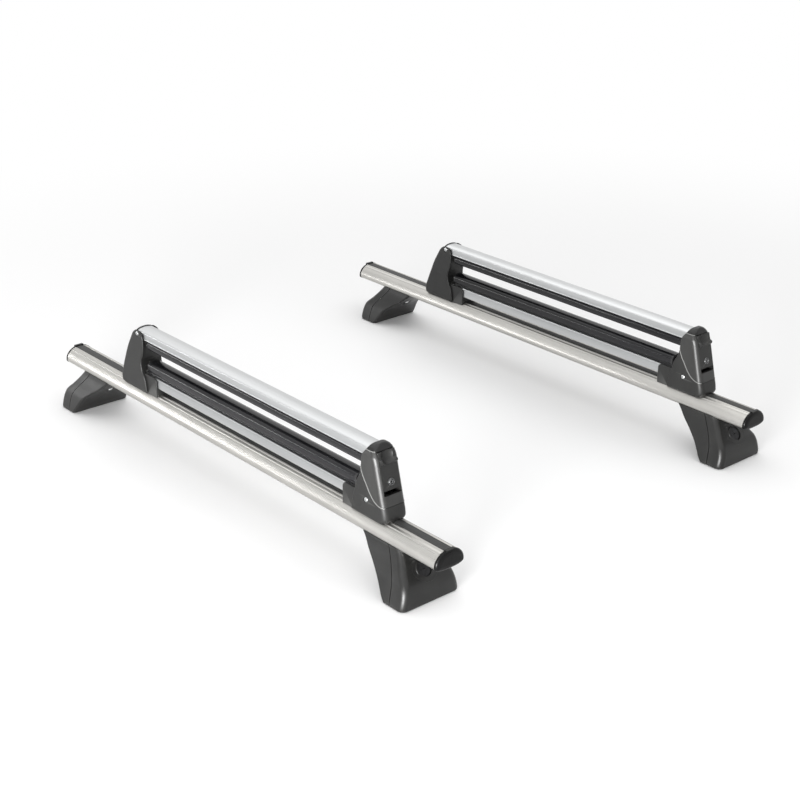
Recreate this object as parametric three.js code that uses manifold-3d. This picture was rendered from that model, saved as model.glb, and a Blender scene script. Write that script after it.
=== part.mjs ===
// Roof ski carrier set: two crossbars on four feet, each bar with a clamping ski carrier on top.
// Millimetres, +Z up, +X towards the latches, +Y from the front row to the rear row.
import * as THREE from "three";
import { mergeVertices } from "three/addons/utils/BufferGeometryUtils.js";
import Module from "manifold-3d";

// Driving dimensions of the set
const rowSpacing = 745;
const barLength = 1043;
const barShift = 9;
const footInset = 27.5;
const seatHeight = 75;
const latchEnd = 349.5;
const hingeEnd = 254.4;
const fit = 0.3;
const slip = 0.5;
const overrun = 8;
const overlap = 1;
const cutReach = 250;
const roundSides = 16;
const cornerSteps = 3;
const cornerShare = 0.9;

// Crossbar section, its heights counted from its underside
const barWidth = 56;
const barHeight = 31;
const barNose = 8.4;
const barWall = 2.6;
const barFloorPower = 2.6;
const barCurveSteps = 8;
const topMouth = 16;
const slotPlay = 1;
const topChannelShare = 3 / 7;
const topChannel = topChannelShare * barWidth;
const topLip = 2.6;
const topDepth = 12;
const lowMouth = 9;
const lowChannel = 18;
const lowLip = 2.4;
const lowDepth = 8.4;
const channelWall = 3;
const chamberSide = topChannel / 2 + channelWall;

// Slot strip and end caps
const stripFlange = 2;
const flangeWidth = topChannel - 2 * slotPlay;
const capLength = 9;
const capRoundShare = 0.0625;
const capLip = 0.6;
const capSteps = 2;
const capRound = capRoundShare * barWidth;
const plugLength = 16;

// T-headed bolts with their nuts
const boltDiameter = 8;
const boltHeadLength = 14;
const boltHeadThickness = 4.5;
const nutWidth = 14;
const nutHeight = 6.5;
const boltEnd = 3;
const bore = 8.8;
const nutSides = 6;
const topHeadWidth = topChannel - 2 * slotPlay;
const lowHeadWidth = lowChannel - 2 * slotPlay;

// Feet, each outline row as height, outer face, inner edge and half width. The last row but one
// stands at the seat, and the last one hugs the rounded underside of the bar.
const footRows = [
  [0, 2, -44, 58],
  [3, 3.3, -46, 58.5],
  [10, 3.6, -51, 57.4],
  [20, 3, -57.5, 55],
  [35, -1, -69, 50.7],
  [50, -15, -88, 43],
  [62, -25, -106, 36],
  [75, -35, -121, 30],
  [80.5, -39.3, -127.3, 28.6],
];
const footOuterRadius = 11;
const footInnerRadius = 6;
const footClearance = 1.5;
const seatRow = footRows.length - 2;
const padThickness = 5;
const padInset = 4;
const coverWall = 3;
const footSeam = [
  [-10, 26],
  [30, 29.5],
  [75, 60],
  [150, 111],
];
const footBoltX = 84;
const saddleThickness = 17;
const nutPocket = 18;
const footLockHeight = 50;
const lockFaceAngle = 0.68;
const lockRecess = 26;
const lockRecessDepth = 3;
const lockBoss = 31;
const lockBossDepth = 9;
const lockBarrel = 15;
const lockBarrelLength = 11;
const lockNotch = 18.5;
const lockProud = 1;
const keySlot = 1.2;

// Carrier arms and pads; all heights of the carrier are counted from the top of the bar
const armWidth = 32;
const upperArmBottom = 93.5;
const lowerArmTop = 30.3;
const upperSection = { face: upperArmBottom, hangs: false, side: 12.5, arch: 5 };
const lowerSection = { face: lowerArmTop, hangs: true, side: 17, arch: 5 };
const armWall = 2;
const armRootHeight = 6;
const armMouth = 18;
const armRootWidth = 26;
const lowerArmIntoTower = 1.4;
const upperPadDepth = 20.5;
const lowerPadDepth = 23;
const padWidth = 28;
const padShoulder = 2;
const padShoulderDepth = 4.5;
const padCrown = 9;
const padWall = 3.5;
const padHollowSteps = 10;
const upperPadInset = 9;
const upperPadOver = 6;
const lowerPadInset = 8;
const lowerPadShort = 12;
const armCurveSteps = 8;

// Latch tower, rows as height, inner edge, outer face and half width
const towerHalf = 23.5;
const towerOuterRadius = 8;
const towerInnerRadius = 1.5;
const baseRows = [
  [-5, -16, 59, 21.5],
  [-2, -15.4, 65, 23.2],
  [3, -14.3, 67.2, 23.5],
  [10, -12.6, 66.5, 23.5],
  [22, -9.7, 63.4, 23.5],
  [36, -6, 59.8, 23.5],
  [48, -2.5, 56.7, 23.5],
  [60, 4, 53.7, 23.5],
  [72, 8, 50.6, 23.5],
  [78, 8.5, 49.1, 23.5],
  [94, 9.5, 44.9, 23.5],
  [99, 11.5, 43, 23.3],
  [104, 15, 40.5, 21.8],
  [108, 17.5, 38, 19.7],
  [111.5, 19, 36, 16.9],
  [114.3, 20.5, 34.3, 13.2],
  [116.4, 22.5, 32.8, 8.6],
  [117.5, 25, 31.5, 4],
];
const seamCurve = [
  [9.8, 79],
  [11.2, 73],
  [14.7, 64.6],
  [22.5, 53],
  [31.6, 39.5],
  [42, 29.5],
  [53, 25],
  [64, 23.6],
  [76, 23.5],
];
const seamGap = 0.35;
const towerWall = 4;
const cradleReach = 40.5;
const cradleTop = 31;
const cradleHalf = 19;
const baseFloor = 5.7;
const latchBoltX = 49;
const basePinX = 21.3;
const basePinHeight = 24.2;
const pinDiameter = 6;
const pinHead = 8.6;
const pinHeadHeight = 1.8;
const rivetWidthShare = 0.75;
const rivetHeightShare = 0.7;
const headSocket = 27;
const headCavityInner = 14;
const headCavityTop = 90.2;
const headInnerWall = 6;
const baseInnerWall = 22;
const headFrontWall = 10.5;

// Release slider on the latch head's sloping face: distances up the face and out of it
const faceFoot = [58.6, 40.8];
const faceHead = [44.9, 94];
const sliderTravel = 7;
const sliderWidth = 33;
const sliderDepth = 4;
const sliderLength = 60;
const sliderSink = 0.5;
const recessSpare = 0.9;
const ledgeStart = 42;
const ledgeRise = 3.4;
const ledgeHeight = 4.5;
const ledgeChamfer = 1;
const scoopGap = 1;
const scoopDepth = 2.2;
const scoopLength = 12;
const scoopShares = [0.3, 0.7];
const lockUp = 12.3;
const sliderLockBarrel = 12;
const sliderLockLength = 11.5;
const windowHalf = 7;
const windowLength = 46;
const wedgeHalf = 4;
const wedgeDrop = 4;
const wedgeHeight = 10;
const wedgeTip = 1.5;
const wedgeNose = 6;

// Latch hook
const hookPivot = [33, 60];
const hookHalf = 5;
const hookShank = 6.5;
const hookHub = 5.5;
const hookTop = 83;
const hookShoulder = 0.5;
const hookTaper = 2.4;
const hookNoseThickness = 6;
const hookNoseReach = 14;
const hookAxle = 6;
const axleWall = 2.2;
const springWire = 1.4;
const springTurns = 4;
const springPitch = 1.9;
const springStart = 7;
const springSteps = 8;
const wireSides = 5;

// Hinge tower, rows as for the latch tower
const hingeRows = [
  [-5, -12, 66, 21],
  [-2, -12, 71, 22.8],
  [6, -11, 72.4, 23],
  [14, -10, 70.6, 23],
  [24, -7, 66.8, 23],
  [34, -1, 62.8, 23],
  [49, 2, 56.8, 22.7],
  [71, -3, 48.8, 21],
  [82, -5, 43, 20.4],
  [93.5, -7, 36.5, 20],
  [99, -8.3, 33, 20],
  [103.5, -8.5, 29, 20],
  [107.5, -6, 24.5, 20],
  [110, 1, 19, 19.8],
];
const hingeTopHalf = 20;
const cheekGap = 17.2;
const webOuter = 8;
const cheekFloor = 90;
const hingeBoltX = 37;
const hingePinX = 13;
const hingePinHeight = 102.4;
const pinClear = 0.6;
const armPastPin = 3;
const rimWidth = 33.2;
const rimSide = 13;
const rimCrown = 5.7;
const rimThickness = 3.2;
const hingePlug = 26;

const wasm = await Module();
wasm.setup();

// Axis changes for outlines drawn in the YZ and XZ planes
const xAxis = new THREE.Vector3(1, 0, 0);
const yAxis = new THREE.Vector3(0, 1, 0);
const zAxis = new THREE.Vector3(0, 0, 1);
const intoX = new THREE.Matrix4().makeBasis(yAxis, zAxis, xAxis);
const intoY = new THREE.Matrix4().makeBasis(xAxis, zAxis, yAxis.clone().negate());

function solid(geometry) {
  geometry.deleteAttribute("normal");
  geometry.deleteAttribute("uv");
  const merged = mergeVertices(geometry, 1e-4);
  return new wasm.Manifold(
    new wasm.Mesh({
      numProp: 3,
      vertProperties: new Float32Array(merged.attributes.position.array),
      triVerts: new Uint32Array(merged.index.array),
    }),
  );
}

// Outline points as vectors, anticlockwise
function outlineOf(points) {
  const outline = points.map(([a, b]) => new THREE.Vector2(a, b));
  return THREE.ShapeUtils.isClockWise(outline) ? outline.reverse() : outline;
}

function extruded(points, length, holes = [], options = {}) {
  const shape = new THREE.Shape(outlineOf(points));
  shape.holes = holes.map((hole) => new THREE.Path(outlineOf(hole)));
  return new THREE.ExtrudeGeometry(shape, { depth: length, bevelEnabled: false, ...options });
}

// An outline in (y, z) pulled from x = from to x = to
function alongX(points, from, to, holes) {
  return solid(extruded(points, to - from, holes).applyMatrix4(intoX).translate(from, 0, 0));
}

// An outline in (x, z) pulled from y = from to y = to
function alongY(points, from, to) {
  return solid(extruded(points, to - from).applyMatrix4(intoY).translate(0, to, 0));
}

function box(x0, x1, y0, y1, z0, z1) {
  const geometry = new THREE.BoxGeometry(x1 - x0, y1 - y0, z1 - z0);
  return solid(geometry.translate((x0 + x1) / 2, (y0 + y1) / 2, (z0 + z1) / 2));
}

function rodY(diameter, y0, y1, x, z, sides = roundSides) {
  const geometry = new THREE.CylinderGeometry(diameter / 2, diameter / 2, y1 - y0, sides);
  return solid(geometry.translate(x, (y0 + y1) / 2, z));
}

function rodZ(diameter, z0, z1, x, y, sides = roundSides) {
  const geometry = new THREE.CylinderGeometry(diameter / 2, diameter / 2, z1 - z0, sides);
  return solid(geometry.rotateX(Math.PI / 2).translate(x, y, (z0 + z1) / 2));
}

// A domed rivet head on the plane y, bulging towards side
function rivetHead(x, y, z, side) {
  const radius = pinHead / 2;
  const dome = new THREE.LatheGeometry(
    [
      new THREE.Vector2(0, 0),
      new THREE.Vector2(radius, 0),
      new THREE.Vector2(radius * rivetWidthShare, pinHeadHeight * rivetHeightShare),
      new THREE.Vector2(0, pinHeadHeight),
    ],
    roundSides,
  );
  return solid(dome.rotateX(side > 0 ? 0 : Math.PI).translate(x, y, z));
}

// Rounded rectangle between x0 and x1 at height z, anticlockwise from above
function ring(z, x0, x1, half, innerRadius, outerRadius) {
  const most = Math.min(half, (x1 - x0) / 2) * cornerShare;
  const outer = Math.min(outerRadius, most);
  const inner = Math.min(innerRadius, most);
  const corners = [
    [x1 - outer, outer - half, outer, -Math.PI / 2],
    [x1 - outer, half - outer, outer, 0],
    [x0 + inner, half - inner, inner, Math.PI / 2],
    [x0 + inner, inner - half, inner, Math.PI],
  ];
  return corners.flatMap(([x, y, radius, start]) =>
    Array.from({ length: cornerSteps + 1 }, (_, i) => {
      const angle = start + (i / cornerSteps) * (Math.PI / 2);
      return [x + radius * Math.cos(angle), y + radius * Math.sin(angle), z];
    }),
  );
}

// A closed skin over rings that lie one above the other
function loft(rings) {
  const count = rings[0].length;
  const last = (rings.length - 1) * count;
  const index = [];
  for (let level = 0; level < rings.length - 1; level++) {
    for (let i = 0; i < count; i++) {
      const a = level * count + i;
      const b = level * count + ((i + 1) % count);
      index.push(a, b, b + count, a, b + count, a + count);
    }
  }
  for (let i = 1; i < count - 1; i++) {
    index.push(0, i + 1, i, last, last + i, last + i + 1);
  }
  const geometry = new THREE.BufferGeometry();
  geometry.setAttribute("position", new THREE.Float32BufferAttribute(rings.flat(2), 3));
  geometry.setIndex(index);
  return solid(geometry);
}

function at(rows, z) {
  const top = Math.max(1, rows.findIndex((row) => row[0] >= z));
  const [low, high] = [rows[top - 1], rows[top]];
  const share = (z - low[0]) / (high[0] - low[0]);
  return low.map((value, i) => value + (high[i] - value) * share);
}

// The tower's skin, drawn in by the given walls
function towerSkin(rows, innerWall = 0, outerWall = 0, sideWall = 0, bottom = 0) {
  return loft(
    rows.map(([z, x0, x1, half], i) =>
      ring(
        i === 0 ? z - bottom : z,
        x0 + innerWall,
        x1 - outerWall,
        half - sideWall,
        towerInnerRadius,
        towerOuterRadius,
      ),
    ),
  );
}

// Crossbar outline: elliptical top, flatter floor, grown all round by grow
function barTopZ(y, grow = 0) {
  const half = barWidth / 2 + grow;
  return barNose + (barHeight - barNose + grow) * Math.sqrt(Math.max(0, 1 - (y / half) ** 2));
}

function barFloorZ(y, grow = 0) {
  const share = Math.abs(y) / (barWidth / 2 + grow);
  return barNose - (barNose + grow) * Math.max(0, 1 - share ** barFloorPower) ** (1 / barFloorPower);
}

function barCurve(fromY, grow, heightAt) {
  const half = barWidth / 2 + grow;
  const start = Math.asin(fromY / half);
  return Array.from({ length: barCurveSteps + 1 }, (_, i) => {
    const y = half * Math.sin(start + (i / barCurveSteps) * (Math.PI / 2 - start));
    return [y, seatHeight + heightAt(y, grow)];
  });
}

function mirrored(points) {
  return points.map(([y, z]) => [-y, z]).reverse();
}

function closedBar(grow) {
  const top = barCurve(0, grow, barTopZ);
  const floor = barCurve(0, grow, barFloorZ).reverse();
  const right = [...top, ...floor.slice(1)];
  return [...right, ...mirrored(right).slice(1, -1)];
}

const barTop = seatHeight + barHeight;

function barOutline() {
  const lowRoof = seatHeight + lowDepth;
  const right = [
    [topChannel / 2, barTop - topDepth],
    [topChannel / 2, barTop - topLip - fit],
    [topMouth / 2, barTop - topLip - fit],
    ...barCurve(topMouth / 2, 0, barTopZ),
    ...barCurve(lowMouth / 2, 0, barFloorZ).reverse().slice(1),
    [lowMouth / 2, seatHeight + lowLip],
    [lowChannel / 2, seatHeight + lowLip],
    [lowChannel / 2, lowRoof],
  ];
  return [...right, ...mirrored(right)];
}

// One side chamber, drawn in by inset
function chamber(side, inset = 0) {
  const grow = -barWall - inset;
  const from = chamberSide + inset;
  const points = [...barCurve(from, grow, barTopZ), ...barCurve(from, grow, barFloorZ).reverse().slice(1)];
  return side > 0 ? points : mirrored(points);
}

function crossbar(middle) {
  const half = barLength / 2;
  return alongX(barOutline(), middle - half, middle + half, [chamber(1), chamber(-1)]);
}

function slotStrip(middle, bolts) {
  const half = barLength / 2 - fit;
  const under = barTop - topLip - 2 * fit;
  const right = [
    [flangeWidth / 2, under - stripFlange],
    [flangeWidth / 2, under],
    [topMouth / 2 - fit, under],
    [topMouth / 2 - fit, seatHeight + barTopZ(topMouth / 2 - fit)],
    [topMouth / 4, seatHeight + barTopZ(topMouth / 4)],
  ];
  const outline = [...right, [0, barTop], ...mirrored(right)];
  let strip = alongX(outline, middle - half, middle + half);
  for (const x of bolts) {
    strip = strip.subtract(rodZ(bore, under - overrun, barTop + overrun, x, 0));
  }
  return strip;
}

function endCap() {
  const dome = extruded(closedBar(capLip), capLength, [], {
    bevelEnabled: true,
    bevelThickness: capRound,
    bevelSize: capRound,
    bevelOffset: -capRound,
    bevelSegments: capSteps,
  });
  const start = fit + capRound - capLength;
  let cap = solid(dome.applyMatrix4(intoX).translate(start, 0, 0));
  const side = barWidth;
  cap = cap.subtract(box(start - 2 * capLength, fit, -side, side, 0, barTop + side));
  for (const hand of [1, -1]) {
    cap = cap.add(alongX(chamber(hand, slip), -plugLength, fit + capRound));
  }
  return cap;
}

// T-head in a slot, shank and nut; up is 1 for a bolt that stands out of the top of the bar
function clampBolt(x, headFace, headWidth, nutFace, up) {
  const reach = nutFace + up * (nutHeight + boltEnd);
  const headEnd = headFace - up * boltHeadThickness;
  const span = (a, b) => [Math.min(a, b), Math.max(a, b)];
  const half = boltHeadLength / 2;
  const head = box(x - half, x + half, -headWidth / 2, headWidth / 2, ...span(headFace, headEnd));
  const shank = rodZ(boltDiameter, ...span(headEnd + up * overlap, reach), x, 0);
  const nut = rodZ(nutWidth, ...span(nutFace, nutFace + up * nutHeight), x, 0, nutSides);
  return head.add(shank).add(nut);
}

const footTop = seatHeight - fit;
const footReach = barLength / 2 - footInset;
const footStretch = seatHeight / footRows[seatRow][0];
const footShape = footRows.map(([z, ...edges]) => [z * footStretch, ...edges]);
const footRim = footShape[seatRow + 1][0];

function footSkin(inset, low, high) {
  const rings = footShape.map(([z, x1, x0, half]) =>
    ring(z, x0 + inset, x1 - inset, half - inset, footInnerRadius, footOuterRadius),
  );
  rings.unshift(rings[0].map(([x, y, z]) => [x, y, z - overrun]));
  return loft(rings).intersect(box(-cutReach, cutReach, -cutReach, cutReach, low, high));
}

// The foot's whole outer shape up to its rim, with room for the bar
function footOuter() {
  const room = alongX(closedBar(fit), -cutReach, cutReach);
  return footSkin(0, footClearance, footRim).subtract(room);
}

// Everything outside (side 1) or inside (side -1) of the foot's slanting seam
function seamSide(side, gap) {
  const seam = footSeam.map(([z, x]) => [side * gap - x, z]);
  const [low, high] = [seam[0][1], seam[seam.length - 1][1]];
  return alongY([...seam, [side * cutReach, high], [side * cutReach, low]], -cutReach, cutReach);
}

function footPad() {
  const [, x1, x0, half] = footRows[0];
  const rings = [0, padThickness].map((z) =>
    ring(z, x0 + padInset, x1 - padInset, half - padInset, footInnerRadius, footOuterRadius),
  );
  return loft(rings);
}

function footBody() {
  const coreInset = coverWall + slip;
  const padTop = padThickness + fit;
  const core = footSkin(coreInset, padTop, footTop - coreInset)
    .intersect(seamSide(1, -coverWall))
    .subtract(box(-cutReach, cutReach, -lockNotch, lockNotch, footLockHeight - lockNotch, seatHeight));
  const nutRoof = footTop - saddleThickness;
  return footOuter()
    .intersect(seamSide(-1, 0))
    .subtract(footPadRoom())
    .add(core)
    .subtract(rodZ(bore, nutRoof - overrun, seatHeight + overrun, -footBoltX, 0))
    .subtract(rodZ(nutPocket, 0, nutRoof, -footBoltX, 0));
}

function footPadRoom() {
  const [, x1, x0, half] = footRows[0];
  const room = padInset - fit;
  const rings = [-overrun, padThickness + fit].map((z) =>
    ring(z, x0 + room, x1 - room, half - room, footInnerRadius, footOuterRadius),
  );
  return loft(rings);
}

// Turns a rod that was made along +X so that it leaves the foot's sloping face squarely
function onLockFace(geometry) {
  const [, face] = at(footShape, footLockHeight);
  return solid(geometry.rotateY(-lockFaceAngle).translate(face, 0, footLockHeight));
}

function faceRod(diameter, from, to) {
  const geometry = new THREE.CylinderGeometry(diameter / 2, diameter / 2, to - from, roundSides);
  return geometry.rotateZ(Math.PI / 2).translate((from + to) / 2, 0, 0);
}

function footCover() {
  const skin = footOuter();
  const boss = onLockFace(faceRod(lockBoss, -lockBossDepth, overrun)).intersect(skin);
  return skin
    .intersect(seamSide(1, fit))
    .subtract(footSkin(coverWall, -overrun, footTop - coverWall))
    .add(boss)
    .subtract(onLockFace(faceRod(lockRecess, -lockRecessDepth, 2 * overrun)))
    .subtract(onLockFace(faceRod(lockBarrel + 2 * fit, -2 * lockBossDepth, overrun)));
}

function footLock() {
  const face = -lockRecessDepth;
  const front = face + lockProud;
  const slot = new THREE.BoxGeometry(lockRecessDepth, lockBarrel / 2, keySlot).translate(front, 0, 0);
  const barrel = onLockFace(faceRod(lockBarrel, front - lockBarrelLength, front));
  return barrel.subtract(onLockFace(slot));
}

function armArch({ side, arch }, grow) {
  return Array.from({ length: armCurveSteps + 1 }, (_, i) => {
    const angle = (i / armCurveSteps) * Math.PI;
    return [(armWidth / 2 + grow) * Math.cos(angle), side + (arch + grow) * Math.sin(angle)];
  });
}

// Outline points counted from an arm's flat face, put in place
function onArm({ face, hangs }, points) {
  return points.map(([y, z]) => [y, hangs ? face - z : face + z]);
}

// Arm outline without its channel, grown all round by grow
function armSkin(section, grow = 0) {
  const half = armWidth / 2 + grow;
  return onArm(section, [[-half, -grow], [half, -grow], ...armArch(section, grow)]);
}

function armHollow(section, inset) {
  const floor = armRootHeight + inset;
  const half = armWidth / 2 - inset;
  return onArm(section, [[-half, floor], [half, floor], ...armArch(section, -inset)]);
}

function arm(section, from, to) {
  const right = [
    [armRootWidth / 2, armRootHeight],
    [armRootWidth / 2, armWall],
    [armMouth / 2, armWall],
    [armMouth / 2, 0],
    [armWidth / 2, 0],
  ];
  const outline = onArm(section, [...right, ...armArch(section, 0), ...mirrored(right)]);
  return alongX(outline, from, to, [armHollow(section, armWall)]);
}

// Rubber pad: root in the arm's channel, shoulder and hollow bulb, pointing away from the arm
function pad(section, depth, from, to) {
  const bulb = Array.from({ length: armCurveSteps / 2 + 1 }, (_, i) => {
    const angle = (i / (armCurveSteps / 2)) * (Math.PI / 2);
    return [(padWidth / 2) * Math.cos(angle), padCrown - depth - padCrown * Math.sin(angle)];
  });
  const right = [
    [armRootWidth / 2 - fit, armRootHeight - fit],
    [armRootWidth / 2 - fit, armWall + fit],
    [armMouth / 2 - fit, armWall + fit],
    [armMouth / 2 - fit, -fit],
    [padWidth / 2 - padShoulder, -fit],
    [padWidth / 2 - padShoulder, -padShoulderDepth],
    [padWidth / 2, -padShoulderDepth - padShoulder / 2],
    ...bulb,
  ];
  const outline = [...right, ...mirrored(right).slice(1)];
  const low = padWall - depth;
  const high = -padShoulderDepth - padWall;
  const half = padWidth / 2 - padWall;
  const middle = (low + high) / 2;
  const hollow = Array.from({ length: padHollowSteps }, (_, i) => {
    const angle = (i / padHollowSteps) * 2 * Math.PI;
    return [half * Math.cos(angle), middle + ((high - low) / 2) * Math.sin(angle)];
  });
  return alongX(onArm(section, outline), from, to, [onArm(section, hollow)]);
}

// What is above (side 1) or below (side -1) of the seam between latch head and base
function latchSide(side) {
  const seam = seamCurve.map(([x, z]) => [x + side * seamGap, z + side * seamGap]);
  const edge = side * cutReach;
  const last = seam[seam.length - 1];
  const outline = [[-cutReach, seam[0][1]], ...seam, [cutReach, last[1]], [cutReach, edge], [-cutReach, edge]];
  return alongY(outline, -cutReach, cutReach);
}

function cradle(reach, half) {
  return box(-reach, 0, -half, half, barNose - barHeight, cradleTop);
}

// Room for the bar, the lower arm and the bolt in the foot of a tower
function cutTowerFoot(tower, boltX) {
  return tower
    .subtract(alongX(closedBar(fit), -cutReach, cutReach).translate([0, 0, -barTop]))
    .subtract(alongX(armSkin(lowerSection, fit), -cutReach, lowerArmIntoTower + fit))
    .subtract(box(-cutReach, 0, -armWidth / 2 - fit, armWidth / 2 + fit, lowerArmTop, upperArmBottom))
    .subtract(rodZ(bore, -barHeight, barHeight, boltX, 0));
}

function latchBase() {
  const cavity = towerSkin(baseRows, baseInnerWall, towerWall, towerWall)
    .intersect(box(webOuter, cutReach, -cutReach, cutReach, baseFloor, cutReach));
  const base = towerSkin(baseRows).intersect(latchSide(-1)).add(cradle(cradleReach, cradleHalf));
  return cutTowerFoot(base.subtract(cavity), latchBoltX)
    .subtract(rodY(pinDiameter + 2 * fit, -cutReach, cutReach, basePinX, basePinHeight));
}

function crossPin(x, z, half) {
  const faces = half + fit;
  return rodY(pinDiameter, -faces - overlap, faces + overlap, x, z)
    .add(rivetHead(x, faces, z, 1))
    .add(rivetHead(x, -faces, z, -1));
}

const faceTilt = Math.atan2(faceFoot[0] - faceHead[0], faceHead[1] - faceFoot[1]);

// Places a geometry drawn with X out of the sloping face and Z up it
function onFace(geometry) {
  return solid(geometry.rotateY(-faceTilt).translate(faceFoot[0], 0, faceFoot[1]));
}

function faceBox(a0, a1, half, s0, s1) {
  const geometry = new THREE.BoxGeometry(a1 - a0, 2 * half, s1 - s0);
  return onFace(geometry.translate((a0 + a1) / 2, 0, (s0 + s1) / 2));
}

function facePoint(a, s) {
  const [sin, cos] = [Math.sin(faceTilt), Math.cos(faceTilt)];
  return [faceFoot[0] + a * cos - s * sin, faceFoot[1] + a * sin + s * cos];
}

const sliderFoot = sliderTravel + slip;
const sliderHead = sliderFoot + sliderLength;
const lockCentre = sliderFoot + lockUp;

const axleEnd = towerHalf - axleWall;

function latchHead() {
  const cavity = towerSkin(baseRows, headInnerWall, headFrontWall, towerWall)
    .intersect(box(headCavityInner, cutReach, -cutReach, cutReach, 0, headCavityTop));
  const depth = sliderSink + sliderDepth + slip;
  const half = sliderWidth / 2 + slip;
  const window = windowLength + sliderFoot;
  const armRoom = alongX(armSkin(upperSection, fit), -cutReach, headSocket + fit);
  return towerSkin(baseRows)
    .intersect(latchSide(1))
    .subtract(cavity)
    .subtract(armRoom)
    .subtract(faceBox(-depth, 4 * overrun, half, 0, sliderHead + recessSpare))
    .subtract(faceBox(-4 * depth, 0, windowHalf, sliderDepth, window))
    .subtract(rodY(hookAxle + 2 * fit, -axleEnd - fit, axleEnd + fit, ...hookPivot));
}

function releaseSlider() {
  const back = -sliderSink - sliderDepth;
  const ledge = sliderFoot + ledgeStart;
  const scoop = ledge + ledgeHeight + scoopGap;
  const profile = [
    [back, sliderFoot],
    [-sliderSink, sliderFoot],
    [-sliderSink, ledge - ledgeHeight],
    [ledgeRise - ledgeChamfer, ledge],
    [ledgeRise, ledge + ledgeHeight / 2],
    [ledgeRise - ledgeChamfer, ledge + ledgeHeight],
    [-sliderSink, scoop],
    ...scoopShares.map((share) => [-scoopDepth, scoop + scoopLength * share]),
    [-sliderSink, scoop + scoopLength],
    [-sliderSink, sliderHead],
    [back, sliderHead],
  ];
  const half = sliderWidth / 2;
  const plate = onFace(extruded(profile, sliderWidth).applyMatrix4(intoY).translate(0, half, 0));
  return plate
    .add(wedge())
    .subtract(onFace(faceRod(sliderLockBarrel + 2 * fit, 4 * back, overrun).translate(0, 0, lockCentre)));
}

// The cam behind the slider that pushes the hook's upper end as the slider goes down
function wedge() {
  const tipLow = hookTop - wedgeDrop;
  const tipTop = tipLow + wedgeHeight;
  const [plateX] = facePoint(-sliderSink - sliderDepth / 2, tipTop - faceFoot[1]);
  return alongY(
    [
      [plateX, tipLow],
      [hookPivot[0] + wedgeTip, tipLow],
      [hookPivot[0] - wedgeNose, tipTop],
      [plateX, tipTop],
    ],
    -wedgeHalf,
    wedgeHalf,
  );
}

function lockCylinder() {
  const face = -sliderSink;
  const slot = new THREE.BoxGeometry(sliderDepth, keySlot, sliderLockBarrel / 2);
  return onFace(faceRod(sliderLockBarrel, face - sliderLockLength, face).translate(0, 0, lockCentre))
    .subtract(onFace(slot.translate(face, 0, lockCentre)));
}

function latchHook() {
  const [px, pz] = hookPivot;
  const pinFloor = basePinHeight - pinDiameter / 2;
  const noseTop = pinFloor - 2 * fit;
  const noseLow = noseTop - hookNoseThickness;
  const inner = px - hookShank;
  const body = alongY(
    [
      [px - hookNoseReach, noseLow],
      [px, noseLow],
      [px, pz],
      [px - hookShoulder, hookTop - hookShank],
      [px - hookTaper, hookTop],
      [inner, hookTop],
      [inner, noseTop],
      [px - hookNoseReach, noseTop],
    ],
    -hookHalf,
    hookHalf,
  );
  return body
    .add(rodY(2 * hookHub, -hookHalf, hookHalf, px, pz))
    .add(rodY(hookAxle, -axleEnd, axleEnd, px, pz));
}

function hookSpring() {
  const radius = hookAxle / 2 + slip + springWire / 2;
  const steps = springSteps * springTurns;
  const points = Array.from({ length: steps + 1 }, (_, i) => {
    const angle = (i / springSteps) * 2 * Math.PI;
    const y = springStart + (i / springSteps) * springPitch;
    return new THREE.Vector3(radius * Math.cos(angle), y, radius * Math.sin(angle));
  });
  const wire = new THREE.Shape(
    Array.from({ length: wireSides }, (_, i) => {
      const angle = (i / wireSides) * 2 * Math.PI;
      return new THREE.Vector2(Math.cos(angle), Math.sin(angle)).multiplyScalar(springWire / 2);
    }),
  );
  const path = new THREE.CatmullRomCurve3(points);
  const coil = new THREE.ExtrudeGeometry(wire, { steps, extrudePath: path });
  return solid(coil.translate(hookPivot[0], 0, hookPivot[1]));
}

function hingeTower() {
  const cavity = towerSkin(hingeRows, 0, towerWall, towerWall)
    .intersect(box(webOuter, cutReach, -cutReach, cutReach, baseFloor, cutReach));
  const tower = towerSkin(hingeRows).add(cradle(cradleReach, cradleHalf)).subtract(cavity);
  return cutTowerFoot(tower, hingeBoltX)
    .subtract(box(-cutReach, cutReach, -cheekGap, cheekGap, cheekFloor, cutReach))
    .subtract(rodY(pinDiameter + 2 * fit, -cutReach, cutReach, hingePinX, hingePinHeight));
}

// End piece of the upper arm at the hinge: a plug in the arm's chamber and a rim over its end
function hingeHead() {
  const armStop = hingePinX + armPastPin;
  const plug = alongX(armHollow(upperSection, armWall + fit), armStop - hingePlug, armStop + overlap);
  const rimFoot = upperArmBottom + rimSide;
  const crown = Array.from({ length: armCurveSteps + 1 }, (_, i) => {
    const angle = (i / armCurveSteps) * Math.PI;
    return [(rimWidth / 2) * Math.cos(angle), rimFoot + rimCrown * Math.sin(angle)];
  });
  const outline = [[-rimWidth / 2, upperArmBottom], [rimWidth / 2, upperArmBottom], ...crown];
  const rim = alongX(outline, armStop + fit, armStop + fit + rimThickness);
  return plug.add(rim).subtract(pinRoom(hingePinX));
}

function pinRoom(x) {
  return rodY(pinDiameter + 2 * pinClear, -cutReach, cutReach, x, hingePinHeight);
}

function upperArm() {
  const tube = arm(upperSection, -hingeEnd - hingePinX - armPastPin, latchEnd + headSocket);
  return tube.subtract(pinRoom(-hingeEnd - hingePinX));
}

// Finishes
const finishes = {
  extrusion: { color: 0xb9b8b2, roughness: 0.38, metalness: 1 },
  anodised: { color: 0xd6d8d9, roughness: 0.3, metalness: 1 },
  plastic: { color: 0x2a2b2c, roughness: 0.5, metalness: 0 },
  rubber: { color: 0x111212, roughness: 0.3, metalness: 0 },
  steel: { color: 0xc4c6c8, roughness: 0.3, metalness: 1 },
};

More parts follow.
